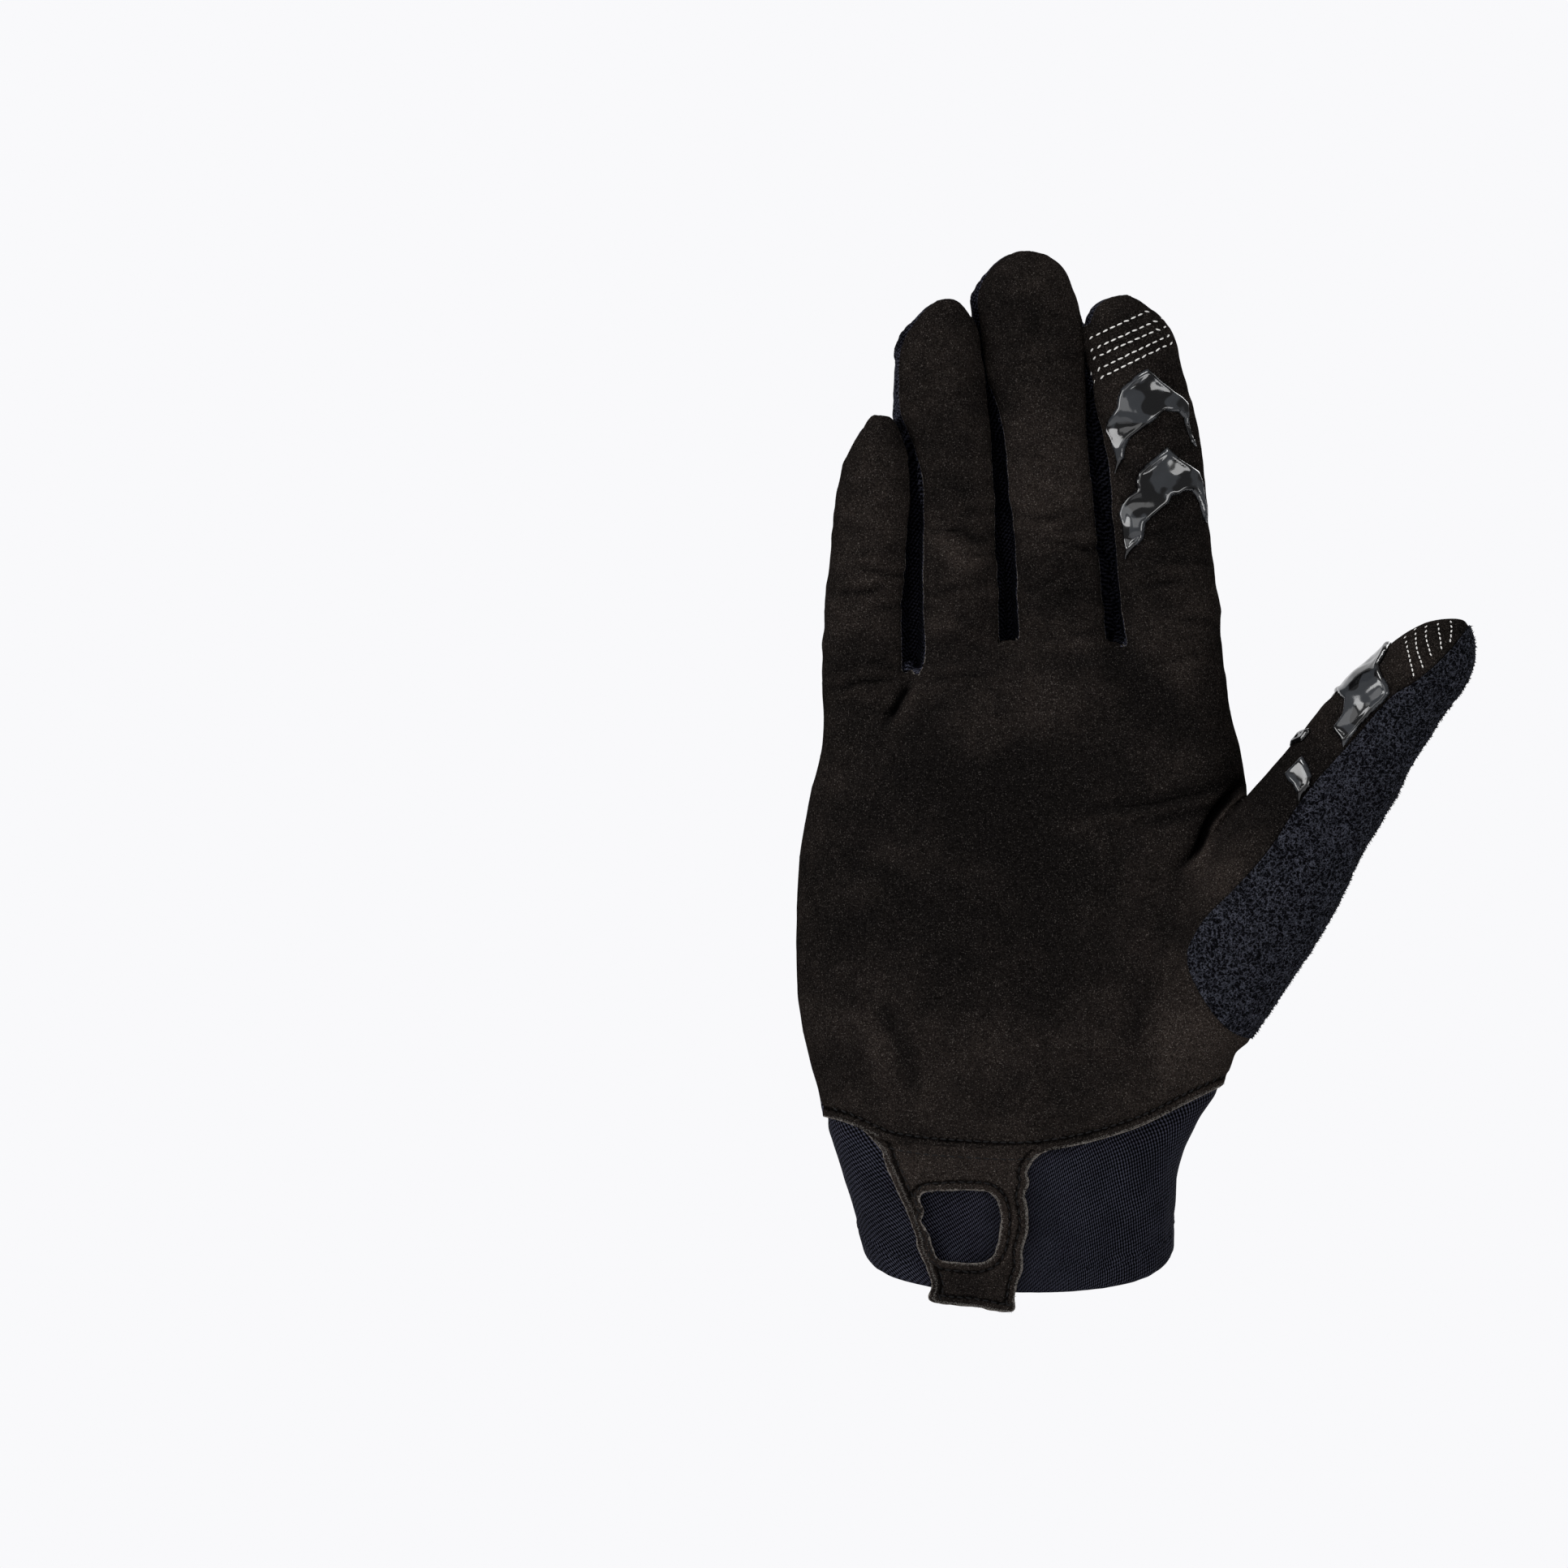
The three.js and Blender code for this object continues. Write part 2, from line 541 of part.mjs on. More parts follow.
// Silicone chevron outline: across the pad and along the finger, from its peak down.
function chevronOutline({ span, band }) {
  const fall = (reach) => -reach * CHEVRON.rise - (reach > span * CHEVRON.shoulder ? CHEVRON.step : 0);
  const bend = span * CHEVRON.shoulder;
  const foot = bend + CHEVRON.stepWidth;
  const wing = [[0, 0], [bend, fall(bend)], [foot, fall(foot)], [span, fall(span)]];
  const upper = wing.map(([u, w]) => new THREE.Vector2(u, w));
  const lower = wing.map(([u, w]) => new THREE.Vector2(u, w - band)).reverse();
  const right = [...upper, ...lower];
  const left = right.slice(1, -1).map((p) => new THREE.Vector2(-p.x, p.y)).reverse();
  return [...right, ...left].reverse();
}

function gripCutter(grip) {
  const onThumb = grip.on === "thumb";
  const finger = FINGERS[grip.on];
  const place = onThumb ? thumbAt(grip.peak) : fingerAt(finger, grip.peak);
  const along = onThumb ? thumbAlong : Z;
  const out = onThumb ? thumbPad : place.through.clone().negate();
  const across = new THREE.Vector3().crossVectors(along, out).normalize();
  const geometry = new THREE.ExtrudeGeometry(new THREE.Shape(chevronOutline(grip)), {
    depth: THUMB.width,
    bevelEnabled: false,
  });
  geometry.applyMatrix4(new THREE.Matrix4().makeBasis(across, along, out));
  const spot = place.centre.clone().addScaledVector(across, grip.shift);
  geometry.translate(spot.x, spot.y, spot.z);
  return solid(geometry);
}

function gripSolid(grip) {
  const skin = (grow) => (grip.on === "thumb" ? thumbLoft(grow) : fingerLoft(FINGERS[grip.on], grow));
  return skin(SEAM_GAP + GRIP_THICKNESS).subtract(skin(SEAM_GAP)).intersect(gripCutter(grip));
}

function tabSolid() {
  const foot = { left: TAB.x - TAB.footWidth / 2, right: TAB.x + TAB.footWidth / 2 };
  const middle = TAB.x - TAB.lean;
  const top = { left: middle - TAB.topWidth / 2, right: middle + TAB.topWidth / 2, end: TAB.top + TAB.overlap };
  const shape = new THREE.Shape();
  shape.moveTo(foot.left, TAB.foot);
  shape.lineTo(foot.right, TAB.foot - TAB.slant);
  shape.lineTo(top.right - TAB.flare / 2, TAB.top - TAB.flare);
  shape.quadraticCurveTo(top.right, TAB.top, top.right + TAB.flare, TAB.top);
  shape.lineTo(top.right + TAB.flare, top.end);
  shape.lineTo(top.left - TAB.wideFlare, top.end);
  shape.quadraticCurveTo(top.left, TAB.top, top.left, TAB.top - TAB.flare / 2);
  shape.closePath();
  shape.holes.push(tabWindow(foot.left));
  const below = -TAB.foot;
  const layer = handLoft(SEAM_GAP + TAB_THICKNESS, below).subtract(handLoft(SEAM_GAP, 2 * below));
  return layer.intersect(prism(shape, -OUTSIDE, 0)).intersect(besideCuffSeam(-SEAM_GAP / 2, false));
}

// The window in the tab, a rounded rectangle whose upper corner on the little finger's side is tighter.
function tabWindow(footLeft) {
  const w = TAB.window;
  const [x0, z0] = [footLeft - w.left, w.z - w.height / 2];
  const [x1, z1] = [x0 + w.width, z0 + w.height];
  const hole = new THREE.Path();
  hole.moveTo(x0 + w.radius, z0);
  hole.lineTo(x1 - w.radius, z0);
  hole.quadraticCurveTo(x1, z0, x1, z0 + w.radius);
  hole.lineTo(x1, z1 - w.radius);
  hole.quadraticCurveTo(x1, z1, x1 - w.radius, z1);
  hole.lineTo(x0 + w.radius / 2, z1);
  hole.quadraticCurveTo(x0, z1, x0, z1 - w.radius / 2);
  hole.lineTo(x0, z0 + w.radius);
  hole.quadraticCurveTo(x0, z0, x0 + w.radius, z0);
  return hole;
}

// The glove: one wall round one hollow, then cut into its panels.
const fingers = Object.values(FINGERS);
const outer = join([handLoft(0), ...fingers.map((f) => fingerLoft(f, 0)), thumbLoft(0)]);
const inner = join([handLoft(-WALL, PAST * WALL), ...fingers.map((f) => fingerLoft(f, -WALL)), thumbLoft(-WALL)]);
const wall = outer.subtract(inner);

const cuff = wall.intersect(besideCuffSeam(-SEAM_GAP / 2, false));
const upper = wall.intersect(besideCuffSeam(SEAM_GAP / 2, true));
const wipePanel = upper.intersect(prism(wipeOutline(0)));
const rest = upper.subtract(prism(wipeOutline(SEAM_GAP)));

const pairs = [["little", "ring"], ["ring", "middle"], ["middle", "index"]];
const fourchettes = pairs.map(([a, b]) => rest.intersect(fourchetteSlab(FINGERS[a], FINGERS[b], 0)));
const cuts = join([
  ...pairs.map(([a, b]) => fourchetteSlab(FINGERS[a], FINGERS[b], SEAM_GAP)),
  sideCut(FINGERS.little, -OUTSIDE, -OUTSIDE),
  sideCut(FINGERS.index, SEAMS.web.x, SEAMS.web.z - SEAMS.webDrop),
  thumbBackCut(SEAMS.web, SEAMS.heel),
  heelCut(CUFF_SEAM.height / 2, HAND.height * SEAMS.heelTop),
]);
// The two largest pieces that the cuts leave are the palm's and the back's.
const [palmPanel, backPanel] = rest.subtract(cuts).decompose().sort((a, b) => b.volume() - a.volume());

// Materials
const cloth = (color, roughness) => new THREE.MeshStandardMaterial({ color, roughness, metalness: 0 });
const suede = cloth(0x241e1b, 0.95);
const knit = cloth(0x13151c, 0.85);
const terry = cloth(0x14171e, 1.0);
const elastic = cloth(0x15171f, 0.8);
const silicone = cloth(0x0b0c0e, 0.08);

const glove = new THREE.Group();
function add(name, made, material) {
  const mesh = new THREE.Mesh(geometryOf(made), material);
  mesh.name = name;
  glove.add(mesh);
}

add("palm_panel", palmPanel, suede);
add("back_panel", backPanel, knit);
pairs.forEach(([a, b], i) => add(`fourchette_${a}_${b}`, fourchettes[i], knit));
add("thumb_wipe_panel", wipePanel, terry);
add("cuff", cuff, elastic);
add("pull_tab", tabSolid(), suede);
for (const [name, grip] of Object.entries(GRIPS)) add(name, gripSolid(grip), silicone);

export default glove;
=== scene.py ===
# %% [markdown]
# # A long-finger cycling glove
# The glove is for a right hand, in the round shape that it has when it is worn, with its palm towards the
# camera. A real one is cut flat from cloth and sewn, but its look is that of one skin with seams in it. So
# this lesson first makes one smooth skin, cuts it along the seams, and then gives each panel its own edge,
# thickness and finish.

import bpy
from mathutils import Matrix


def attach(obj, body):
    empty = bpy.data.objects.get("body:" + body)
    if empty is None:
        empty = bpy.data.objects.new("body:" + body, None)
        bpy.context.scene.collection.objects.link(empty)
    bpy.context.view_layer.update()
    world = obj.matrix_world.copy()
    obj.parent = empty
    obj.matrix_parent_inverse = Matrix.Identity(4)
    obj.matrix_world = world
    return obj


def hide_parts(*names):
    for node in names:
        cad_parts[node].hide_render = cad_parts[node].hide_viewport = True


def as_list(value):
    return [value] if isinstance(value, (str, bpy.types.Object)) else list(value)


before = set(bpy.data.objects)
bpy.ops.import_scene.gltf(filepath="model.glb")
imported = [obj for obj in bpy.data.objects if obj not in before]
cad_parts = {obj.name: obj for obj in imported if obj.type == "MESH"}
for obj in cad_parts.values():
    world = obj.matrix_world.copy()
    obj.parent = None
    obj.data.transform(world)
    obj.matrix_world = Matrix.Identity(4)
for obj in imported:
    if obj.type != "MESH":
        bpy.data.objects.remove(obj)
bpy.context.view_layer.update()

# %% [markdown]
# ## Units and tables
# Sizes are in millimetres while a piece is being made, because seams and stitches are easiest to think of
# that way, and each piece is brought to metres when it is finished. A table holds a row for each section,
# and is read between its rows on a smooth curve, so that a few sections give a round form.

# %% A table that is read on a smooth curve
import math

import bmesh
import bpy
import numpy as np
from mathutils import Matrix, Vector, noise
from mathutils.bvhtree import BVHTree
from mathutils.kdtree import KDTree


class Table:
    """Rows of numbers under named columns. The first column is the one that is looked up."""

    def __init__(self, columns, rows):
        self.columns = columns.split()
        self.rows = np.array(rows, float)

    def read(self, column, at):
        x, y = self.rows[:, 0], self.rows[:, self.columns.index(column)]
        slope = np.gradient(y, x)
        i = np.clip(np.searchsorted(x, at, side="right") - 1, 0, len(x) - 2)
        step = x[i + 1] - x[i]
        t = np.clip((at - x[i]) / step, 0, 1)
        rise = y[i + 1] - y[i]
        start, end = slope[i] * step, slope[i + 1] * step
        square = t * t * (3 * rise - 2 * start - end)
        cube = t**3 * (start + end - 2 * rise)
        return y[i] + t * start + square + cube


def smooth_step(low, high, value):
    t = np.clip((np.asarray(value, float) - low) / (high - low), 0, 1)
    return t * t * (3 - 2 * t)


# %% [markdown]
# ## The hand's form
# These are the sizes of the solids that the frame was made from: the hand from cuff to knuckles, four
# fingers and the thumb. The looks have to lie on those solids, so the skin is shaped from the same
# sections.

# %% Sizes and sections
HAND = dict(height=142, little_side=53.2, index_side=52, depth=37, forward=12, wrist_bend=27,
            knuckle_drop=17.6, knuckle_top=8, hollow=3.5, hollow_width=0.4, square=2.5)
HAND_SECTIONS = Table("up little index deep forward bend arc cup", [
    (0.0, 0.695, 0.673, 1.27, 0.0, 1.0, 0, 0),
    (0.07, 0.75, 0.688, 1.21, 0.36, 0.82, 0, 0),
    (0.14, 0.81, 0.704, 1.14, 0.63, 0.6, 0, 0),
    (0.21, 0.865, 0.79, 1.09, 0.83, 0.37, 0, 0),
    (0.295, 0.93, 0.94, 1.05, 0.95, 0.15, 0, 0.1),
    (0.395, 0.985, 0.98, 1.03, 1.0, 0, 0, 0.5),
    (0.505, 1.0, 0.99, 1.0, 1.0, 0, 0, 0.9),
    (0.62, 0.99, 1.0, 0.97, 1.0, 0, 0, 1.0),
    (0.73, 0.957, 1.01, 0.92, 1.0, 0, 0.1, 0.7),
    (0.83, 0.918, 0.985, 0.83, 1.0, 0, 0.35, 0.3),
    (0.915, 0.885, 0.945, 0.71, 1.0, 0, 0.7, 0),
    (0.97, 0.86, 0.91, 0.58, 1.0, 0, 0.95, 0),
    (1.0, 0.82, 0.87, 0.42, 1.0, 0, 1, 0),
])
FINGER_ROOT = HAND["height"] - 24
FINGER_GAP = 0.5
THUMB_SIDE = 60  # beyond this, in x, there is only the thumb
FINGER_COLUMNS = "up wide deep lean curl"
FINGERS = {
    "little": dict(
        x=-0.718 * HAND["little_side"], length=76.4, width=19, depth=18, lean=4.7, front=1.6, curl=9, roll=8,
        sections=Table(FINGER_COLUMNS, [
            (0.0, 0.94, 0.9, 0.0, 0.0), (0.2, 1.06, 1.0, 0.18, 0.03), (0.44, 1.0, 1.0, 0.33, 0.12),
            (0.61, 0.97, 0.98, 0.52, 0.26), (0.77, 0.89, 0.93, 0.64, 0.46), (0.88, 0.71, 0.8, 0.79, 0.66),
            (0.955, 0.43, 0.52, 1.0, 0.85)])),
    "ring": dict(
        x=-0.282 * HAND["little_side"], length=104.3, width=21, depth=20, lean=-5, front=0.4, curl=8, roll=10,
        sections=Table(FINGER_COLUMNS, [
            (0.0, 1.08, 1.0, 0.0, 0.0), (0.29, 1.07, 1.0, 0.16, 0.04), (0.5, 1.01, 1.0, 0.22, 0.14),
            (0.65, 0.98, 0.99, 0.46, 0.28), (0.79, 1.0, 0.96, 0.98, 0.5), (0.885, 0.9, 0.88, 1.0, 0.68),
            (0.935, 0.75, 0.76, 0.84, 0.8), (0.98, 0.47, 0.46, 0.68, 0.95)])),
    "middle": dict(
        x=0.179 * HAND["index_side"], length=115.1, width=23.5, depth=21.5, lean=-9.4, front=-0.8, curl=7,
        roll=9, sections=Table(FINGER_COLUMNS, [
            (0.0, 1.07, 0.98, 0.0, 0.0), (0.265, 1.05, 0.98, 0.13, 0.03), (0.455, 1.0, 1.0, 0.31, 0.12),
            (0.585, 1.0, 1.0, 0.47, 0.23), (0.7, 0.99, 0.98, 0.62, 0.38), (0.84, 1.02, 0.93, 0.84, 0.58),
            (0.925, 0.96, 0.83, 1.0, 0.78), (0.98, 0.68, 0.54, 0.97, 0.95)])),
    "index": dict(
        x=0.727 * HAND["index_side"], length=104.7, width=24.6, depth=21, lean=-15, front=0.4, curl=6,
        roll=17, sections=Table(FINGER_COLUMNS, [
            (0.0, 0.95, 0.9, 0.0, 0.0), (0.29, 1.035, 0.98, 0.3, 0.03), (0.5, 1.0, 1.0, 0.47, 0.14),
            (0.645, 0.99, 1.0, 0.56, 0.28), (0.745, 0.96, 0.97, 0.67, 0.42), (0.835, 0.88, 0.92, 0.79, 0.58),
            (0.925, 0.78, 0.79, 0.91, 0.78), (0.98, 0.56, 0.5, 1.0, 0.95)])),
}
THUMB = dict(
    root=Vector((0.65 * HAND["index_side"], -HAND["forward"] - 4, 0.33 * HAND["height"])), length=120.8,
    splay=34.8, forward=18, width=27, depth=25, bow=4.2, pad=20, square=2.2,
    sections=Table("up wide deep bow forward", [
        (0.0, 0.82, 0.85, 0.0, 0.0), (0.08, 1.06, 1.1, 0.0, 0.03), (0.17, 1.16, 1.26, 0.1, 0.1),
        (0.29, 1.19, 1.24, 0.36, 0.22), (0.41, 1.19, 1.14, 0.64, 0.36), (0.526, 1.09, 1.05, 0.81, 0.5),
        (0.635, 0.99, 1.0, 0.81, 0.62), (0.73, 0.89, 0.95, 0.82, 0.72), (0.82, 0.8, 0.88, 0.62, 0.82),
        (0.885, 0.72, 0.79, 0.36, 0.89), (0.94, 0.57, 0.63, 0.15, 0.95), (0.982, 0.32, 0.38, 0.05, 0.99)]))
print("fingers:", list(FINGERS), "and a thumb")

# %% [markdown]
# ## Tubes
# A hand or a finger is a closed tube. Blender's cylinder is the quickest start: its sides are cut into many
# rings, and each point, which has a height and a turn round the cylinder, is moved to its place on an oval
# section. A tip closes on a quarter of an ellipse, because a flat end would show as a hard edge.

# %% A tube from a cylinder
def tube(place, around, rings):
    """place(up, turn) gives the point at a share of the height and an angle round the tube."""
    bm = bmesh.new()
    bmesh.ops.create_cone(bm, cap_ends=True, segments=around, radius1=1, radius2=1, depth=1,
                          matrix=Matrix.Translation((0, 0, 0.5)))
    rising = [e for e in bm.edges if abs(e.verts[0].co.z - e.verts[1].co.z) > 0.5]
    bmesh.ops.subdivide_edges(bm, edges=rising, cuts=rings - 1)
    for v in bm.verts:
        v.co = place(v.co.z, math.atan2(v.co.y, v.co.x))
    return bm


def oval(turn, square):
    """A point on a slightly squared circle of radius 1."""
    c, s = math.cos(turn), math.sin(turn)
    return math.copysign(abs(c) ** (2 / square), c), math.copysign(abs(s) ** (2 / square), s)


def tip_close(up, last):
    return math.sqrt(max(0.0, 1 - ((up - last) / (1 - last)) ** 2)) if up > last else 1.0


def denser_at_tip(share):
    return 1 - (1 - share) ** 1.6


# %% Where the hand, a finger and the thumb are
def hand_point(up, turn, grow=0.0):
    """Below up = 0 the tube runs on past the cuff's rim."""
    at = lambda column: float(HAND_SECTIONS.read(column, max(up, 0)))
    bend = math.radians(HAND["wrist_bend"] * at("bend"))
    c, s = oval(turn, HAND["square"])
    side = HAND["index_side"] * at("index") if c > 0 else HAND["little_side"] * at("little")
    deep = (HAND["depth"] / 2 * at("deep") + grow) * s
    p = Vector((c * (side + grow), -HAND["forward"] * at("forward") + deep * math.cos(bend),
                HAND["height"] * max(up, 0) + deep * math.sin(bend)))
    reach = (p.x - HAND["knuckle_top"]) / HAND["little_side"]
    p.z -= HAND["knuckle_drop"] * at("arc") * reach**2
    if s < 0:
        cup = math.exp(-(((p.x - HAND["knuckle_top"]) / (HAND["index_side"] * HAND["hollow_width"])) ** 2))
        p.y += HAND["hollow"] * at("cup") * cup * smooth_step(0, 1, -s * 2)
    if up < 0:
        p += Vector((0, math.sin(bend), -math.cos(bend))) * (-up * HAND["height"])
    return p


def finger_frame(finger, z):
    """Centre, half width, half depth and share of the length for every height in z."""
    up = np.clip((z - FINGER_ROOT) / finger["length"], 0, 1)
    at = lambda column: finger["sections"].read(column, up)
    return dict(up=up, x=finger["x"] + finger["lean"] * at("lean"),
                y=-HAND["forward"] - finger["front"] - finger["curl"] * at("curl"),
                wide=(finger["width"] * at("wide") - FINGER_GAP) / 2, deep=finger["depth"] / 2 * at("deep"))


SPREAD = 1.0  # the fingers are made this much thinner at first, so that they don't grow together
WEBS = (124, 137)  # the heights between which the fingers part


def spread_at(z):
    return SPREAD * smooth_step(*WEBS, z)


def finger_point(finger, share, turn):
    up = denser_at_tip(share)
    z = FINGER_ROOT + finger["length"] * up
    f = finger_frame(finger, z)
    close = tip_close(up, finger["sections"].rows[-1, 0] - 0.02)
    thin = float(spread_at(z))
    c, s = oval(turn, HAND["square"])
    a, t = c * (float(f["wide"]) * close - thin * close), s * (float(f["deep"]) * close - thin * close)
    roll = math.radians(finger["roll"])
    return Vector((float(f["x"]) + a * math.cos(roll) - t * math.sin(roll),
                   float(f["y"]) + a * math.sin(roll) + t * math.cos(roll),
                   z - thin * smooth_step(0.8, 1, up)))


ALONG = Vector((math.sin(math.radians(THUMB["splay"])), 0, math.cos(math.radians(THUMB["splay"]))))
ACROSS = Vector((ALONG.z, 0, -ALONG.x))


def thumb_centre(up):
    at = lambda column: float(THUMB["sections"].read(column, up))
    return (THUMB["root"] + ALONG * (THUMB["length"] * up) - ACROSS * (THUMB["bow"] * at("bow"))
            - Vector((0, THUMB["forward"] * at("forward"), 0)))


def thumb_point(share, turn):
    up = denser_at_tip(share)
    close = tip_close(up, 0.962)
    wide = THUMB["width"] / 2 * float(THUMB["sections"].read("wide", up)) * close
    deep = THUMB["depth"] / 2 * float(THUMB["sections"].read("deep", up)) * close
    c, s = oval(turn, THUMB["square"])
    return thumb_centre(up) + ACROSS * (c * wide) + Vector((0, s * deep, 0))


BELOW_RIM = 0.12
tubes = [tube(lambda share, turn: hand_point(-BELOW_RIM + (1 + BELOW_RIM) * share, turn), 72, 48)]
tubes += [tube(lambda share, turn, f=f: finger_point(f, share, turn), 40, 56) for f in FINGERS.values()]
tubes += [tube(thumb_point, 44, 56)]
print("tubes:", len(tubes), "points:", sum(len(bm.verts) for bm in tubes))

# %% [markdown]
# ## One skin
# The tubes overlap at the knuckles and at the thumb's root. Booleans would leave sharp creases there, and a
# hand has none, so the tubes are joined with the Remesh modifier in its voxel mode, which melts them into
# one surface of small even squares. A little smoothing rounds the webs between the fingers. The fingers are
# then blown up again by what they were thinned by, point by point along the normals.

# %% Join the tubes and blow the fingers up
VOXEL = 0.95


def mesh_of(bm, name):
    mesh = bpy.data.meshes.new(name)
    bm.to_mesh(mesh)
    return mesh


def joined(parts):
    whole = bmesh.new()
    for bm in parts:
        mesh = mesh_of(bm, "part")
        whole.from_mesh(mesh)
        bpy.data.meshes.remove(mesh)
        bm.free()
    return whole


def remeshed(bm, voxel):
    bmesh.ops.recalc_face_normals(bm, faces=bm.faces)
    block = bpy.data.objects.new("block", mesh_of(bm, "block"))
    bpy.context.scene.collection.objects.link(block)
    union = block.modifiers.new("union", "REMESH")
    union.mode, union.voxel_size = "VOXEL", voxel
    mesh = bpy.data.meshes.new_from_object(block.evaluated_get(bpy.context.evaluated_depsgraph_get()))
    bpy.data.objects.remove(block)
    bm.clear()
    bm.from_mesh(mesh)
    return bm


def points_of(bm):
    return np.array([v.co for v in bm.verts], float).reshape(-1, 3)


def move_to(bm, points):
    for v, p in zip(bm.verts, points):
        v.co = p


def soften(bm, verts, times=1):
    """Draws points to the middle of their neighbours, a number of times."""
    for _ in range(times):
        bmesh.ops.smooth_vert(bm, verts=verts, factor=0.5, use_axis_x=True, use_axis_y=True, use_axis_z=True)


skin = remeshed(joined(tubes), VOXEL)
soften(skin, skin.verts, 5)
skin.normal_update()
points = points_of(skin)
normals = np.array([v.normal for v in skin.verts])
REGROW, SLACK = 1.3, 0.12  # the swelling for each mm of thinning, and what is added everywhere
swell = np.where(points[:, 0] < THUMB_SIDE, spread_at(points[:, 2]) * REGROW, 0) + SLACK
BULGES = [  # where a finger is still too thin: its middle in mm, how far it reaches and how much is added
    ((-9.3, -16, 204), (4, 8, 8), 0.9), ((-10.4, -18, 190), (3.5, 8, 8), 0.4),
    ((-38, -18, 190), (8, 9, 7), 0.9), ((14, -16, 214), (3.5, 9, 7), 1.0),
]
for middle, reach, more in BULGES:
    swell += more * np.exp(-(((points - middle) / reach) ** 2).sum(1))
move_to(skin, points + normals * swell[:, None])
print("skin faces:", len(skin.faces), "height in mm:", round(points[:, 2].max(), 1))

# %% [markdown]
# ## Melt the roots into the hand
# Where a tube comes out of the hand, the remesh leaves a small step. Cloth that is pulled over knuckles has
# none, so the points there are smoothed many more times. Those that face the next finger are left out,
# which keeps the webs.

# %% Smooth the roots of the fingers and thumb
ROOTS = dict(z=(108, 148), little_side=-40, index_side=42)  # where the fingers start, in mm
THUMB_FOOT = dict(x=(26, 66), z=(42, 112))


def within(values, low, high):
    return (values > low) & (values < high)


def melt(bm, chosen, times):
    verts = [v for v, take in zip(bm.verts, chosen) if take]
    soften(bm, verts, times)
    return len(verts)


x, _, z = points_of(skin).T
faces_side, faces_front = normals[:, 0], -normals[:, 1]
little_side = (x < ROOTS["little_side"]) & (faces_side < -0.3)
index_side = (x > ROOTS["index_side"]) & (faces_side > 0.3)
chosen = (np.abs(faces_front) > 0.5) | little_side | index_side
finger_roots = within(z, *ROOTS["z"]) & (x < THUMB_SIDE + 2) & chosen
thumb_root = within(x, *THUMB_FOOT["x"]) & within(z, *THUMB_FOOT["z"]) & (faces_front > 0.35)
print("points smoothed at the fingers:", melt(skin, finger_roots, 34))
print("points smoothed at the thumb:", melt(skin, thumb_root, 18))

# %% [markdown]
# ## Seams as zero lines
# A seam is drawn as a number that is worked out for every point: negative on one side of it, positive on
# the other and zero on the seam. Where an edge of the mesh goes from one sign to the other it is split at
# zero, and the new points are connected through the faces. Points that lie almost on the line are moved
# onto it, which avoids slivers. That gives smooth seams in any direction, which neither painting faces nor
# a straight bisect can.

# %% Cut the skin where a number changes sign
def cut_along(bm, number, where=None):
    bm.verts.index_update()
    bm.verts.ensure_lookup_table()
    bm.edges.ensure_lookup_table()
    p = points_of(bm)
    f = number(p)
    near = np.ones(len(p), bool) if where is None else where(p)
    ends = np.array([(e.verts[0].index, e.verts[1].index) for e in bm.edges])
    a, b = f[ends[:, 0]], f[ends[:, 1]]
    crossing = np.flatnonzero((a * b < 0) & near[ends[:, 0]] & near[ends[:, 1]])
    on_line, moved, rest = set(), {}, []
    for i in crossing:
        share = a[i] / (a[i] - b[i])
        v, w = ends[i]
        if share < 0.2 and v not in moved:
            moved[v] = Vector(p[v]).lerp(Vector(p[w]), share)
        elif share > 0.8 and w not in moved:
            moved[w] = Vector(p[v]).lerp(Vector(p[w]), share)
        rest.append((i, share))
    for v, co in moved.items():
        bm.verts[v].co = co
        on_line.add(bm.verts[v])
    split = [(bm.edges[i], bm.verts[ends[i][0]], share) for i, share in rest
             if not moved.keys() & set(ends[i])]
    for edge, v, share in split:
        on_line.add(bmesh.utils.edge_split(edge, v, share)[1])
    bmesh.ops.connect_verts(bm, verts=list(on_line))
    return len(on_line)


def smooth_line(points, count=14):
    """A smooth line through points, with count steps from each to the next."""
    p = np.array(points, float)
    p = np.vstack([2 * p[0] - p[1], p, 2 * p[-1] - p[-2]])
    out = []
    for i in range(1, len(p) - 2):
        for t in np.arange(count) / count:
            out.append(0.5 * (2 * p[i] + (p[i + 1] - p[i - 1]) * t
                              + (2 * p[i - 1] - 5 * p[i] + 4 * p[i + 1] - p[i + 2]) * t**2
                              + (3 * p[i] - p[i - 1] - 3 * p[i + 1] + p[i + 2]) * t**3))
    return np.array(out + [p[-2]])


def from_line(q, line):
    """For points in a plane: distance to a line, a sign for their side of it, and the share along it."""
    best = np.full(len(q), np.inf)
    sign, along = np.ones(len(q)), np.zeros(len(q))
    for i, (a, b) in enumerate(zip(line[:-1], line[1:])):
        d = b - a
        t = np.clip(((q - a) @ d) / (d @ d), 0, 1)
        away = q - (a + t[:, None] * d)
        distance = np.hypot(away[:, 0], away[:, 1])
        closer = distance < best - 1e-9
        best[closer] = distance[closer]
        sign[closer] = np.where(d[0] * away[closer, 1] - d[1] * away[closer, 0] >= 0, 1.0, -1.0)
        along[closer] = (i + t[closer]) / (len(line) - 1)
    return best, sign, along


# %% [markdown]
# ## The seams of the glove
# Suede covers the palm, the fronts of the fingers and a strip of the thumb. Knit gussets run between the
# fingers, a stretch panel covers the back, terry covers the thumb's outer side to wipe a face with, and the
# cuff is elastic.

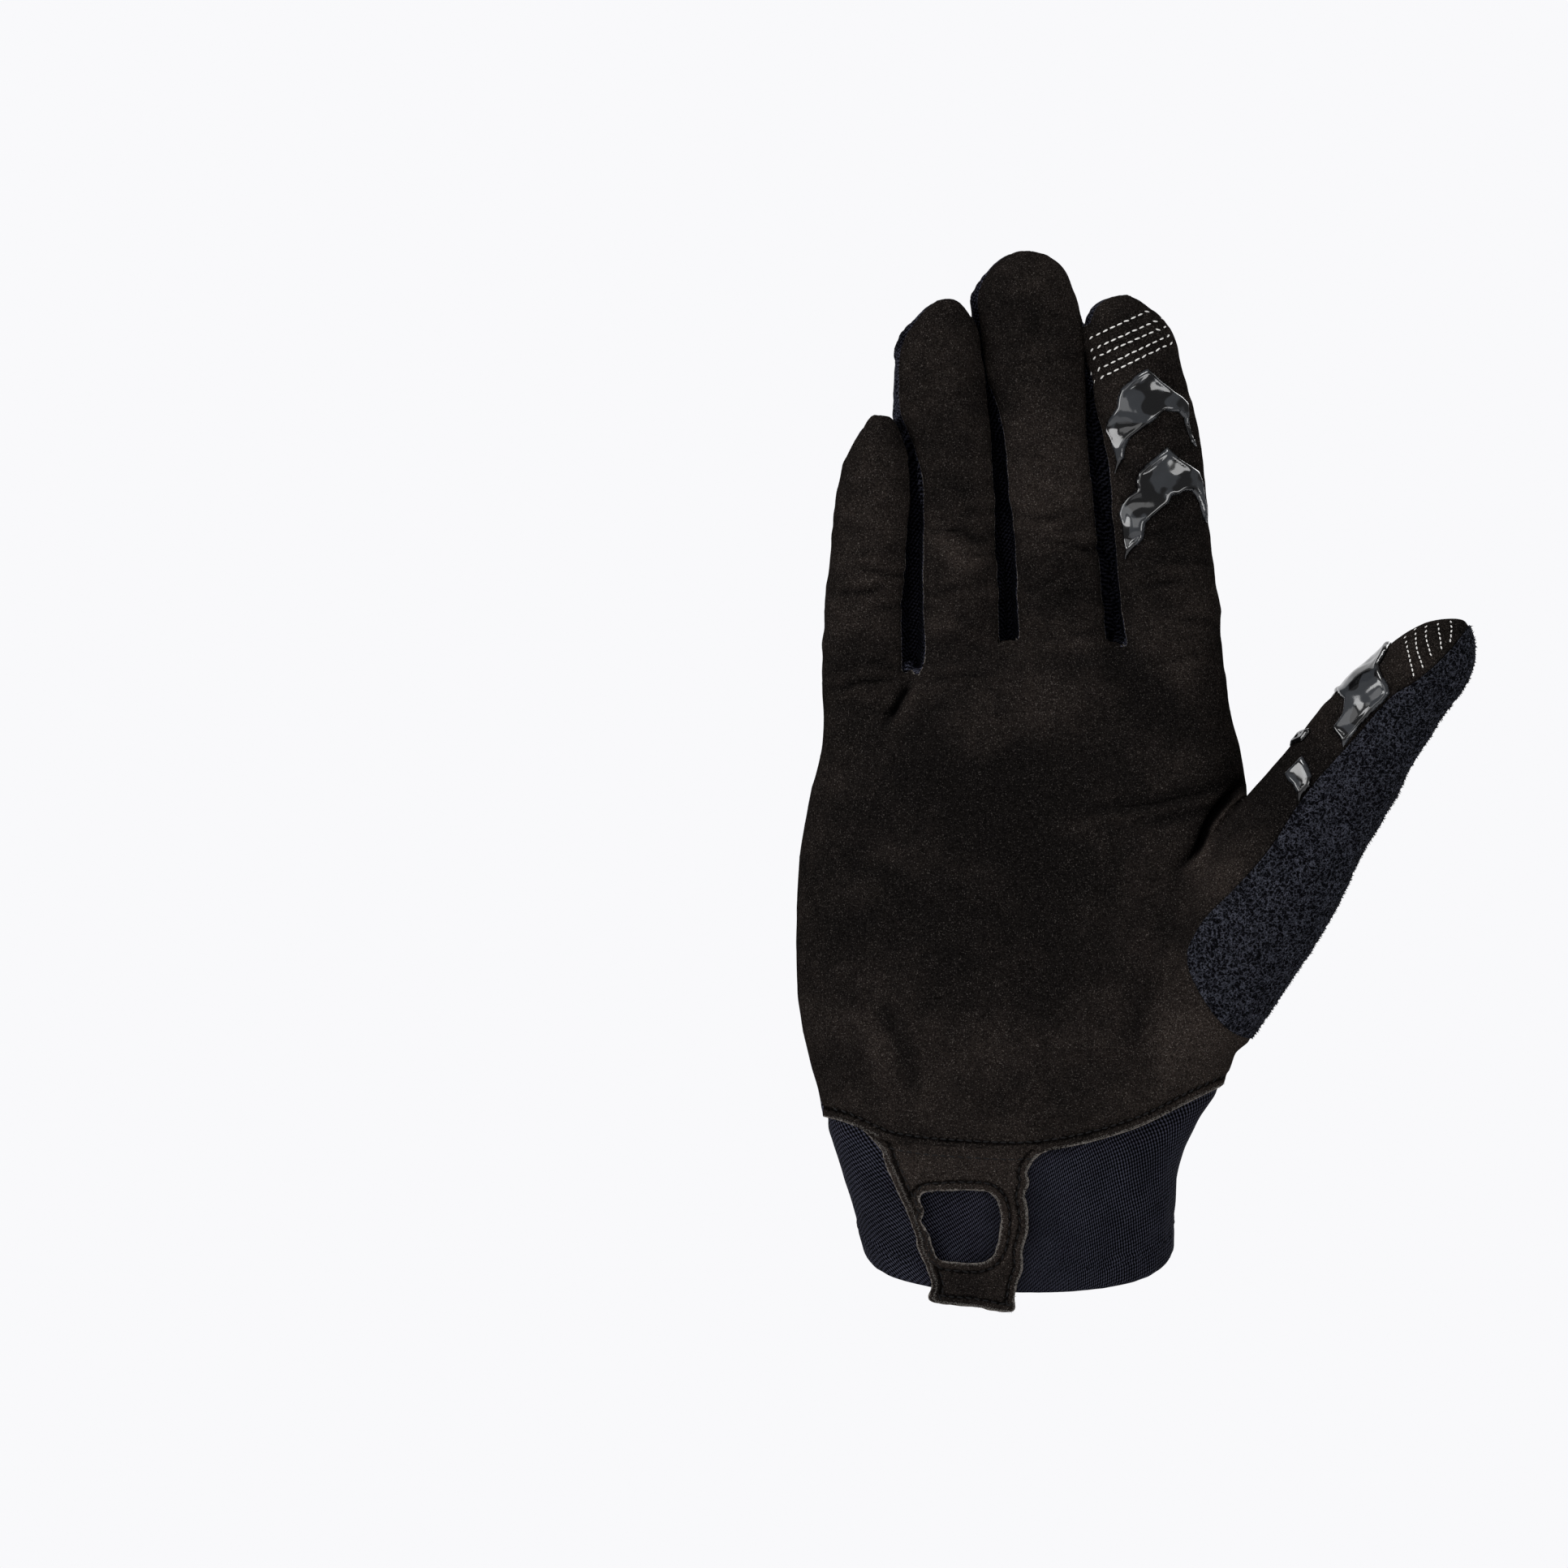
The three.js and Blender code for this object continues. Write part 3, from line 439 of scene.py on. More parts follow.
# %% Seam numbers
CUFF_SEAM = [(-1.8, 0.85), (-1.03, 0.8), (-0.68, 0.65), (-0.3, 0.6), (0.1, 0.6), (0.55, 0.73), (1.0, 0.98),
             (1.8, 1.35)]  # shares of the two sizes in the next line
cuff_line = smooth_line(np.array(CUFF_SEAM) * (0.85 * HAND["little_side"], 0.268 * HAND["height"]))
WIPE_EDGE = [  # share of the thumb's length, and of its half width
    (0.107, 1.03), (0.094, 0.63), (0.111, 0.06), (0.156, -0.5), (0.227, -0.59), (0.326, -0.42), (0.428, -0.3),
    (0.55, -0.32), (0.686, -0.22), (0.791, -0.17), (0.853, 0.02), (0.93, 0.12), (1.02, 0.3)]
SEAMS = dict(  # how far the seams lie from the middle, as shares of half the depth, and where they end
    gusset=0.6, front_left=dict(little=0.68, ring=0.68, middle=0.6, index=0.4), front_right=0.74, side=0.25,
    taper_start=0.86, taper_end=0.98, binding=0.7, foot=HAND["height"] - 13,
    web=(1.03 * HAND["index_side"], 0.76 * HAND["height"]),
    heel=(0.765 * HAND["index_side"], 0.465 * HAND["height"]))
VALLEY = dict(low=66, high=98, end=106, reach=8)  # the valley behind the thumb: heights and reach in mm


def above_cuff(p):
    return p[:, 2] - np.interp(p[:, 0], cuff_line[:, 0], cuff_line[:, 1])


def above_rim(p):
    bend = math.radians(HAND["wrist_bend"])
    return p[:, 2] * math.cos(bend) - p[:, 1] * math.sin(bend)


def wipe_points():
    for along, across in WIPE_EDGE:
        wide = THUMB["width"] / 2 * float(THUMB["sections"].read("wide", along))
        bow = THUMB["bow"] * float(THUMB["sections"].read("bow", along))
        p = THUMB["root"] + ALONG * (THUMB["length"] * along) + ACROSS * (wide * across - bow)
        yield p.x, p.z


wipe_line = smooth_line(list(wipe_points()))
far = np.array((ACROSS.x, ACROSS.z)) * 45
wipe_line = np.vstack([wipe_line[0] + far, wipe_line, wipe_line[-1] + far])


def inside_wipe(p):
    """Positive on the terry's side of its edge."""
    distance, sign, _ = from_line(p[:, [0, 2]], wipe_line)
    return -distance * sign


def between_fingers(p):
    """For every point: nearest finger, place across and through it, share up it and the gusset's reach."""
    names = list(FINGERS)
    across, through, gap, reach, up = (np.zeros((len(names), len(p))) for _ in range(5))
    for k, name in enumerate(names):
        finger = FINGERS[name]
        f = finger_frame(finger, p[:, 2])
        roll = math.radians(finger["roll"])
        dx, dy = p[:, 0] - f["x"], p[:, 1] - f["y"]
        across[k] = dx * math.cos(roll) + dy * math.sin(roll)
        through[k] = -dx * math.sin(roll) + dy * math.cos(roll)
        gap[k], up[k] = np.abs(across[k]) - f["wide"], f["up"]
        taper = (f["up"] - SEAMS["taper_start"]) / (SEAMS["taper_end"] - SEAMS["taper_start"])
        run_out = np.clip(taper, 0, 1) ** 2
        tip = smooth_step(0.6, 0.8, f["up"])
        left, right = SEAMS["front_left"][name], SEAMS["front_right"]
        front = np.where(across[k] < 0, left * (1 - 0.72 * tip), right * (1 - 0.5 * tip))
        share = np.where(through[k] < 0, front, SEAMS["gusset"])
        reach[k] = f["deep"] * share * (1 - run_out) + SEAMS["binding"] * run_out
    nearest = gap.argmin(0)
    weight = np.exp(-(gap - gap.min(0)) / 0.25)
    weight /= weight.sum(0)
    pick = lambda table: table[nearest, np.arange(len(p))]
    return dict(finger=nearest, across=pick(across), through=(through * weight).sum(0), up=pick(up),
                reach=(reach * weight).sum(0))


def side_seam(p, name):
    """Behind the seam that joins palm and back on a finger's outer side, and down the hand below it."""
    f = finger_frame(FINGERS[name], p[:, 2])
    roll = math.radians(FINGERS[name]["roll"])
    return p[:, 1] - (f["y"] + math.cos(roll) * f["deep"] * SEAMS["side"] * (1 - f["up"] ** 8))


def thumb_back(p):
    """Negative on the hand's side of the valley behind the thumb."""
    (x0, z0), (x1, z1) = SEAMS["heel"], SEAMS["web"]
    return p[:, 0] - (x0 + (x1 - x0) * np.clip((p[:, 2] - z0) / (z1 - z0), -1, 1))


HEEL_Y = -HAND["forward"] + HAND["depth"] / 2 * SEAMS["side"]

# %% Cut every seam
def outer_side(b):
    return ((b["finger"] == 0) & (b["across"] < 0)) | ((b["finger"] == 3) & (b["across"] > 0))


def on_fingers(p):
    return (p[:, 2] > SEAMS["foot"] - 2) & (p[:, 0] < THUMB_SIDE)


def on_thumb_side(p):
    return (p[:, 0] > 30) & (p[:, 2] > 40)


def at_tips(p):
    b = between_fingers(p)
    return on_fingers(p) & (b["up"] > 0.97) & (np.abs(b["through"]) < b["reach"] + 0.5)


def below_or_outside(p):
    """Below the fingers, or on the outer side of the little or the index finger."""
    return (p[:, 2] < SEAMS["foot"]) | outer_side(between_fingers(p))


def gusset_edge(way):
    """The number for the gussets' front seams where way is 1, and for their back seams where it is -1."""
    def number(p):
        b = between_fingers(p)
        return b["through"] + way * b["reach"]
    return number


cuts = {"rim": cut_along(skin, above_rim, lambda p: p[:, 2] < 40)}
low = [f for f in skin.faces if above_rim(np.array([f.calc_center_median()]))[0] < 0]
bmesh.ops.delete(skin, geom=low, context="FACES")
cuts["cuff"] = cut_along(skin, above_cuff)
cuts["terry"] = cut_along(skin, inside_wipe, on_thumb_side)
for way, title in ((1, "front of gussets"), (-1, "back of gussets")):
    cuts[title] = cut_along(skin, gusset_edge(way), lambda p: on_fingers(p) & ~outer_side(between_fingers(p)))
cuts["tips"] = cut_along(skin, lambda p: between_fingers(p)["across"], at_tips)
cuts["little side"] = cut_along(
    skin, lambda p: side_seam(p, "little"),
    lambda p: (p[:, 0] < -15) & (above_cuff(p) > -1) & below_or_outside(p))
cuts["index side"] = cut_along(
    skin, lambda p: side_seam(p, "index"),
    lambda p: within(p[:, 0], 15, 56) & (p[:, 2] > VALLEY["high"]) & below_or_outside(p))
cuts["thumb valley"] = cut_along(
    skin, thumb_back,
    lambda p: (p[:, 1] > -13) & within(p[:, 2], 55, 108) & (np.abs(thumb_back(p)) < VALLEY["reach"]))
cuts["heel"] = cut_along(
    skin, lambda p: p[:, 1] - HEEL_Y,
    lambda p: (p[:, 0] > 20) & (p[:, 2] < VALLEY["low"] + 1) & (above_cuff(p) > -1))
print("points on seams:", cuts)

# %% [markdown]
# ## Which panel a face belongs to
# Every face now lies wholly on one side of each seam, so the numbers at its centre say which panel it is
# in.

# %% Sort the faces into panels
PANELS = ["palm_panel", "back_panel", "fourchette_little_ring", "fourchette_ring_middle",
          "fourchette_middle_index", "thumb_wipe_panel", "cuff"]
PALM, BACK, GUSSET, WIPE, CUFF = 0, 1, 2, 5, 6  # places in that list, with GUSSET the first of three


def panel_at(p):
    b = between_fingers(p)
    x, y, z = p.T
    before_thumb = thumb_back(p) < 0
    high = (side_seam(p, "index") > 0) & (before_thumb | (z > VALLEY["end"]))
    middle = before_thumb & (y > -HAND["forward"])
    heel = (y > HEEL_Y) & (thumb_back(p) < 6)
    behind_right = np.where(z > VALLEY["high"], high, np.where(z > VALLEY["low"], middle, heel))
    behind = np.where(x < 0, side_seam(p, "little") > 0, behind_right & (x < THUMB_SIDE))
    sewn_between = on_fingers(p) & ~outer_side(b)
    behind = np.where(sewn_between, b["through"] > 0, behind)
    panel = np.where(behind, BACK, PALM)
    gusset = sewn_between & (np.abs(b["through"]) < b["reach"])
    panel = np.where(gusset, GUSSET + b["finger"] - (b["across"] < 0), panel)
    panel = np.where((inside_wipe(p) > 0) & on_thumb_side(p), WIPE, panel)
    return np.where(above_cuff(p) < 0, CUFF, panel)


def sort_faces(bm):
    centres = np.array([f.calc_center_median() for f in bm.faces], float)
    for f, panel in zip(bm.faces, panel_at(centres)):
        f.material_index = int(panel)


def seam_edges(bm):
    return [e for e in bm.edges if len(e.link_faces) == 2
            and e.link_faces[0].material_index != e.link_faces[1].material_index]


sort_faces(skin)
print("faces:", {name: sum(f.material_index == i for f in skin.faces) for i, name in enumerate(PANELS)})

# %% [markdown]
# ## Finer faces along the seams
# An edge of cloth rolls over within a millimetre, which is one face of the skin. So the faces beside the
# seams are cut into four, and the rest stay as they are to keep the mesh light.

# %% Refine the skin near its seams
SEAM_ZONE = 1.7


def tree_of(points):
    tree = KDTree(len(points))
    for i, p in enumerate(points):
        tree.insert(p, i)
    tree.balance()
    return tree


def distance_to(tree, points):
    return np.array([tree.find(p)[2] for p in points])


def refine(bm, near):
    """Cuts the faces between the points that near marks into four."""
    bm.verts.index_update()
    edges = [e for e in bm.edges if near[e.verts[0].index] and near[e.verts[1].index]]
    bmesh.ops.subdivide_edges(bm, edges=edges, cuts=1, use_grid_fill=True)


seam_tree = tree_of([v.co for e in seam_edges(skin) for v in e.verts])
refine(skin, distance_to(seam_tree, points_of(skin)) < SEAM_ZONE)
print("faces after refining:", len(skin.faces))

# %% [markdown]
# ## Folds, creases and tips
# A worn glove is never smooth: the palm folds towards the thumb, the finger joints crease across, and the
# rows of stitches at the tips pull the suede in. These are small moves along the normals, as a sculpting
# brush would make them. One number is worked out for every point of the whole skin, so that the panels
# still meet afterwards. Places are measured on the photograph, and from_photo turns them into millimetres
# in the glove's own plane.

# %% Tables of folds and creases
PIXEL = 0.19
FOLDS = [  # height (below 0 is a valley), width and the height of the lip on the path's left, and the path
    (0.8, 3.2, 0, [(1148, 664), (1184, 692), (1216, 702)]),
    (0.6, 2.8, 0, [(1136, 776), (1160, 770), (1186, 776)]),
    (-1.1, 1.1, 0.7, [(1124, 834), (1108, 862), (1086, 900)]),
    (-0.8, 4.0, 0.3, [(1366, 790), (1404, 836), (1448, 892)]),
    (-0.7, 1.4, 0.3, [(1544, 962), (1470, 978), (1402, 992), (1310, 1000)]),
    (-0.5, 1.3, 0.3, [(1530, 985), (1450, 1006), (1390, 1012)]),
    (-0.4, 1.6, 0.25, [(1120, 984), (1180, 988), (1260, 984), (1330, 990)]),
    (-1.5, 1.0, 1.3, [(1546, 958), (1518, 978), (1490, 1010), (1474, 1046), (1446, 1074)]),
    (0.8, 6.0, 0, [(1568, 1000), (1516, 1064), (1478, 1150)]),
    (0.6, 6.5, 0, [(1150, 905), (1250, 880), (1352, 905)]),
    (-0.6, 5.0, 0, [(1062, 942), (1160, 966), (1290, 956)]),
    (-0.5, 3.0, 0.2, [(1046, 1060), (1110, 1090), (1150, 1150)]),
    (0.5, 3.5, 0, [(1050, 1240), (1080, 1290), (1100, 1350)]),
    (-0.6, 2.5, 0.2, [(1085, 1235), (1112, 1290), (1130, 1350)]),
    (-0.5, 4.0, 0.2, [(1420, 1180), (1400, 1260), (1410, 1340)]),
]
CRISP = 1.5  # a valley narrower than this, in mm, gets finer faces and a line of painted shade
CRISP_ZONE = 1.6  # how far the finer faces reach from it
FAR_AWAY = 50.0  # what a distance in mm says where there is no crease or no such edge
CREASES = [  # finger, height, depth, middle across the finger, reach across it and slope of a crease
    ("little", 163, 0.3, -3, 5, 0.2), ("little", 158.5, 0.5, 3, 6, -0.1), ("little", 154, 0.4, -2, 7, 0.15),
    ("little", 148, 0.3, 4, 5, 0.3), ("little", 137, 0.35, 2, 6, -0.2), ("little", 131.5, 0.5, -2, 8, 0.1),
    ("little", 126, 0.35, 3, 6, -0.1), ("ring", 171, 0.3, 4, 5, 0.2), ("ring", 166.5, 0.45, -1, 7, -0.15),
    ("ring", 161.5, 0.4, 4, 6, 0.1), ("ring", 155, 0.35, -4, 5, 0.35), ("ring", 146, 0.3, 3, 6, -0.3),
    ("ring", 134, 0.4, -2, 7, 0.15), ("middle", 178, 0.25, 5, 5, 0.2), ("middle", 171, 0.4, -3, 7, 0.1),
    ("middle", 164.5, 0.45, 3, 8, -0.12), ("middle", 157, 0.3, -5, 5, 0.3), ("middle", 143, 0.3, 2, 7, 0.1),
    ("index", 167, 0.3, -4, 6, 0.2), ("index", 161, 0.4, 3, 7, -0.15), ("index", 155.5, 0.4, -3, 7, 0.1),
    ("index", 147, 0.3, 5, 6, -0.2), ("index", 138, 0.3, -2, 7, 0.12),
]
TIP_ROWS = [  # five rows of stitches on the index finger, of two places each, and five on the thumb, of three
    ((1340, 419), (1421, 381)), ((1341, 434), (1434, 392)), ((1344, 444), (1436, 403)),
    ((1341, 462), (1440, 414)), ((1345, 472), (1444, 423)),
    ((1782, 765), (1782, 778), (1780, 792)), ((1766, 768), (1767, 782), (1769, 800)),
    ((1752, 771), (1751, 788), (1756, 808)), ((1739, 774), (1739, 799), (1746, 823)),
    ((1726, 784), (1729, 806), (1735, 834)),
]


def from_photo(path):
    """Pixels across and down to x and z in mm."""
    return np.array([((x - 1262) * PIXEL, (1536 - y) * PIXEL) for x, y in path])


def noise_at(p, scale, seed):
    """Smooth noise from -1 to 1 whose waves are as long as scale, which may differ by axis."""
    return np.array([noise.noise(Vector(q)) for q in p / np.array(scale, float) + seed])


# %% Move the points
def relief(p, n):
    """How far each point is moved along its normal, and how far it is from the nearest crease."""
    front = smooth_step(0.1, 0.5, -n[:, 1])
    plane = p[:, [0, 2]]
    b = between_fingers(p)
    fingers = smooth_step(126, 140, p[:, 2]) * (p[:, 0] < THUMB_SIDE)
    thumb = smooth_step(56, 66, p[:, 0])
    low = smooth_step(1, -3, above_cuff(p))
    out = 0.5 * noise_at(p, 17, 3.1) * (1 - 0.5 * low) + 0.2 * noise_at(p, 5.5, 8.7)
    out += (fingers + thumb) * 0.3 * noise_at(p, (11, 11, 3.6), 5.3)
    out += low * 0.16 * noise_at(p, (2.6, 2.6, 12), 1.9)
    crease = np.full(len(p), FAR_AWAY)
    for height, width, lip, path in FOLDS:
        line = smooth_line(from_photo(path), 6)
        near = np.flatnonzero((np.abs(plane - line.mean(0)).max(1) < 30 + 3 * width) & (front > 0))
        distance, side, along = from_line(plane[near], line)
        taper = np.minimum(1, 3.2 * np.minimum(along, 1 - along)) ** 0.7
        roll = lip * np.exp(-(((distance * side - 2 * width) / (1.4 * width)) ** 2))
        out[near] += (1.3 * height * np.exp(-((distance / width) ** 2)) + roll) * taper * front[near]
        if height < 0 and width < CRISP:
            crease[near] = np.minimum(crease[near], distance + 2 * (1 - taper) + 1 + height)
    for name, at, depth, middle, reach, slope in CREASES:
        mine = (b["finger"] == list(FINGERS).index(name)) & (np.abs(p[:, 2] - at) < 10)
        across = b["across"][mine]
        d = p[mine, 2] - at - slope * across - 1.6 * noise_at(p[mine], 6, at)
        fade = front[mine] * np.exp(-(((across - middle) / reach) ** 4))
        valley, lips = np.exp(-((d / 0.9) ** 2)), np.exp(-(((np.abs(d) - 2) / 1.2) ** 2))
        out[mine] += depth * fade * (0.6 * lips - valley)
        crease[mine] = np.minimum(crease[mine], np.abs(d) + 2 * (1 - fade) + 1 - 1.6 * depth)
    for row in TIP_ROWS:
        distance, _, _ = from_line(plane, from_photo(row))
        out -= 0.26 * np.exp(-((distance / 0.7) ** 2)) * front
    return out, crease


skin.normal_update()
plane = points_of(skin)[:, [0, 2]]
near = np.zeros(len(plane), bool)
for height, width, _, path in FOLDS:
    if height < 0 and width < CRISP:
        near |= from_line(plane, smooth_line(from_photo(path), 2))[0] < CRISP_ZONE
refine(skin, near & np.array([v.normal.y < -0.3 for v in skin.verts]))
skin.normal_update()
points, normals = points_of(skin), np.array([v.normal for v in skin.verts])
moves, creases = relief(points, normals)
move_to(skin, points + normals * moves[:, None])
print("points moved from", round(moves.min(), 2), "to", round(moves.max(), 2), "mm")

# %% [markdown]
# ## Worn nap and painted shade
# Suede is lighter where it is rubbed. Shade and light are also painted into it: darker in the palm's hollow
# and in valleys, lighter on ridges. How light it is, and how far the nearest crease is, are numbers that are
# kept at each point of the skin, so that the finish can read them later.

# %% Keep the wear, the painted shade and the creases on the skin
WEAR_AND_SHADE = [  # where the suede is painted lighter or darker than elsewhere, as worn nap and as painted shade and light: x and z in mm, reach and amount
    ((42, 47), 17, 0.34), ((-6, 92), 34, -0.27), ((4, 186), 17, 0.15), ((-38, 162), 14, 0.08),
    ((-30, 42), 22, 0.06), ((0, 28), 26, 0.06), ((30, 158), 15, -0.12), ((56, 104), 14, -0.15),
    ((68, 100), 20, -0.12), ((-15, 8), 16, 0.15), ((-15, -12), 8, -0.2), ((22, 118), 12, -0.15),
    ((-22, 128), 9, 0.1), ((2, 131), 9, 0.08), ((45, 73), 12, -0.2), ((-17, 185), 9, -0.08),
]


def wear_and_shade_at(p):
    """How light the suede is painted, as worn nap and as painted shade and light, from about -0.6 to 0.6."""
    wear_and_shade = 0.16 * noise_at(p, (18, 30, 9), 2.6) + 0.07 * noise_at(p, 6, 9.9)
    for middle, reach, amount in WEAR_AND_SHADE:
        wear_and_shade += amount * np.exp(-((p[:, [0, 2]] - middle) ** 2).sum(1) / reach**2)
    return wear_and_shade


wear_and_shade_layer = skin.verts.layers.float.new("wear_and_shade")
crease_layer = skin.verts.layers.float.new("crease")
# The relief is added as painted shade and light: valleys darker, ridges lighter.
wear_and_shade = wear_and_shade_at(points) + 0.3 * moves
for v, amount, crease in zip(skin.verts, wear_and_shade, creases):
    v[wear_and_shade_layer], v[crease_layer] = amount, crease
skin.normal_update()
print("wear from", round(wear_and_shade.min(), 2), "to", round(wear_and_shade.max(), 2))

# %% [markdown]
# ## Panels with sewn edges
# Each panel is a copy of the skin that keeps its own faces. Where two panels are sewn edge to edge, both
# dip into a valley with a soft shoulder beside it, because the seam allowance lies inside. Where one is
# laid over the other, its edge stands up and the other's dips under it. The first word of a key is the
# panel and the second its neighbour. Then a Solidify modifier gives the cloth its thickness, inwards, so
# the outside keeps its size.

# %% How each edge is sewn
KIND = ["suede", "back", "knit", "knit", "knit", "terry", "cuff"]
EDGES = {  # move at the edge, how far it reaches, and the shoulder beyond it, in mm
    ("suede", "cuff"): (0.42, 1.1, 0.1), ("cuff", "suede"): (-0.62, 1.9, 0.1),
    ("suede", "back"): (-0.42, 0.9, 0.16), ("back", "suede"): (-0.42, 0.9, 0.16),
    ("suede", "knit"): (-0.3, 0.8, 0.22), ("knit", "suede"): (-0.5, 0.9, 0.1),
    ("back", "knit"): (-0.35, 0.8, 0.15), ("knit", "back"): (-0.35, 0.8, 0.15),
    ("suede", "terry"): (-0.15, 0.8, 0.1), ("terry", "suede"): (0.25, 1.2, 0.1),
    ("back", "terry"): (-0.3, 0.8, 0.1), ("terry", "back"): (0.2, 1.2, 0.1),
    ("back", "cuff"): (0.3, 1.0, 0.1), ("cuff", "back"): (-0.55, 1.6, 0.1),
    ("terry", "cuff"): (0.3, 1.0, 0.1), ("cuff", "terry"): (-0.55, 1.6, 0.1),
}
PLAIN_EDGE = (0, 1, 0)  # where other kinds meet
HEM = dict(height=7.0, thick=0.45, stitch=0.3)
SLOT = dict(deep=2.3, close=0.7)  # a gusset falls back in front, and meets the next one behind
UNDER_TAB = 0.7  # how far the cuff gives way below the tab
THICKNESS = {"suede": 1.1, "back": 1.1, "knit": 0.9, "terry": 1.7, "cuff": 1.3}


def edge_trees(index):
    """A search tree for each kind of neighbour that the panel is sewn to."""
    found = {}
    for v in skin.verts:
        owners = {f.material_index for f in v.link_faces}
        if index in owners and len(owners) > 1:
            for other in sorted(owners - {index}):
                found.setdefault(KIND[other], []).append(v.co.copy())
    return {kind: tree_of(at) for kind, at in found.items()}


def panel(index):
    """A panel with its edges shaped, and how far its points are from the cuff's seam and from a cut edge."""
    kind = KIND[index]
    bm = skin.copy()
    bmesh.ops.delete(bm, geom=[f for f in bm.faces if f.material_index != index], context="FACES")
    p, n = points_of(bm), np.array([v.normal for v in bm.verts])
    in_front = p[:, 1] < -10
    move, far = np.zeros(len(p)), np.full(len(p), FAR_AWAY)
    to = {}
    for other, tree in edge_trees(index).items():
        rise, reach, shoulder = EDGES.get((kind, other), PLAIN_EDGE)
        d = to[other] = distance_to(tree, p)
        move += rise * np.exp(-((d / reach) ** 2)) + shoulder * np.exp(-(((d - 2 * reach) / reach) ** 2))
    nearest = np.min([far, *to.values()], axis=0)
    to_cuff, to_knit = to.get("cuff", far), to.get("knit", far)
    to_raw_edge = np.minimum(to_cuff, to_knit + 0.12)
    if kind == "suede":
        in_tab = smooth_step(-0.6, 0.4, tab_distance(p)) * in_front
        to_raw_edge = np.minimum(to_cuff + 9 * in_tab, to_knit + 0.12)
        move -= 0.34 * np.exp(-(((to_cuff - STITCH_INSET - 0.4) / 0.55) ** 2))
    if kind == "knit":
        # For the knit this is the distance to its nearest seam, which its finish uses for painted shade deep
        # in the slots.
        to_raw_edge = nearest
        through = between_fingers(p)["through"]
        inner = smooth_step(0.2, 2.0, nearest)
        move -= SLOT["deep"] * inner * smooth_step(1.5, -2.0, through)
        move += SLOT["close"] * inner * smooth_step(0.5, 3.0, through)
    if kind == "cuff":
        ends = [v.co.copy() for v in bm.verts if v.is_boundary and above_rim(np.array([v.co]))[0] < 0.5]
        rim = distance_to(tree_of(ends), p)
        hem = HEM["thick"] * smooth_step(HEM["height"] + 1, HEM["height"] - 0.6, rim)
        move += hem * smooth_step(-0.4, 1.2, rim)
        move -= HEM["stitch"] * np.exp(-(((rim - HEM["height"] + 1.2) / 0.5) ** 2))
        move -= UNDER_TAB * smooth_step(0, 2.5, tab_distance(p)) * in_front
    move_to(bm, p + n * move[:, None])
    return bm, {"from_row": to_cuff, "from_edge": to_raw_edge}


# %% [markdown]
# ## The pull tab's outline
# The tab is a tongue of suede with a rounded window in it, cut in one with the palm and laid over the cuff.
# Whether a point is inside an outline is found by counting how often a line from it crosses the outline.

# %% Outlines
TAB_OUTLINE = from_photo([
    (1064, 1379), (1073, 1400), (1088, 1416), (1094, 1430), (1103, 1449), (1109, 1464), (1121, 1490),
    (1132, 1521), (1135, 1538), (1146, 1563), (1152, 1584), (1151, 1604), (1200, 1610), (1247, 1617),
    (1251, 1599), (1254, 1580), (1260, 1561), (1260, 1538), (1266, 1513), (1265, 1488), (1262, 1471),
    (1267, 1455), (1265, 1441), (1276, 1424), (1290, 1416), (1308, 1407), (1324, 1378), (1190, 1372)])
WINDOW = from_photo([
    (1137, 1477), (1143, 1468), (1166, 1466), (1190, 1465), (1216, 1467), (1229, 1479), (1233, 1505),
    (1228, 1536), (1220, 1549), (1206, 1555), (1178, 1554), (1160, 1550), (1153, 1537), (1147, 1518),
    (1139, 1504), (1143, 1490)])


def closed(points, count):
    """A smooth closed line through points."""
    around = np.vstack([points[-1:], points, points[:2]])
    return smooth_line(around, count)[count:-count]


def inside_outline(q, outline):
    """Distance to a closed outline, above 0 inside it."""
    distance = from_line(q, outline)[0]
    a, b = outline[:-1], outline[1:]
    passes = (a[:, 1] > q[:, None, 1]) != (b[:, 1] > q[:, None, 1])
    rise = np.where(b[:, 1] == a[:, 1], 1e-9, b[:, 1] - a[:, 1])
    at = a[:, 0] + (q[:, None, 1] - a[:, 1]) / rise * (b[:, 0] - a[:, 0])
    return np.where((passes & (q[:, None, 0] < at)).sum(1) % 2 == 1, distance, -distance)


STITCH_INSET = 2.0
tab_line, window_line = closed(TAB_OUTLINE, 5), closed(WINDOW, 5)
tab_distance = lambda p: inside_outline(p[:, [0, 2]], tab_line)
print("tab in mm:", np.ptp(tab_line, axis=0).round(1), "window:", np.ptp(window_line, axis=0).round(1))

# %% [markdown]
# ## Small repeated shapes
# Stitches, frayed fibres and terry loops are thousands of copies of one small shape. Each copy has its own
# frame: a place and three directions that hold its half sizes. The copies are joined first and moved into
# place all at once, which is far quicker than making each one where it belongs.

# %% Many copies of a small shape
def many(shape, frames):
    """frames has a place and three axes, as four rows of three numbers, for each copy."""
    count = len(shape.verts)
    one = mesh_of(shape, "small shape")
    bm = bmesh.new()
    bm.from_mesh(one)
    while len(bm.verts) < count * len(frames):
        block = mesh_of(bm, "block")
        bm.from_mesh(block)
        bpy.data.meshes.remove(block)
    bpy.data.meshes.remove(one)
    bm.verts.ensure_lookup_table()
    bmesh.ops.delete(bm, geom=bm.verts[count * len(frames):], context="VERTS")
    frames = np.asarray(frames, float)
    move_to(bm, (np.einsum("cvi,cij->cvj", points_of(bm).reshape(len(frames), count, 3), frames[:, 1:])
                 + frames[:, :1]).reshape(-1, 3))
    return bm


def bead():
    bm = bmesh.new()
    bmesh.ops.create_uvsphere(bm, u_segments=6, v_segments=5, radius=1)
    return bm


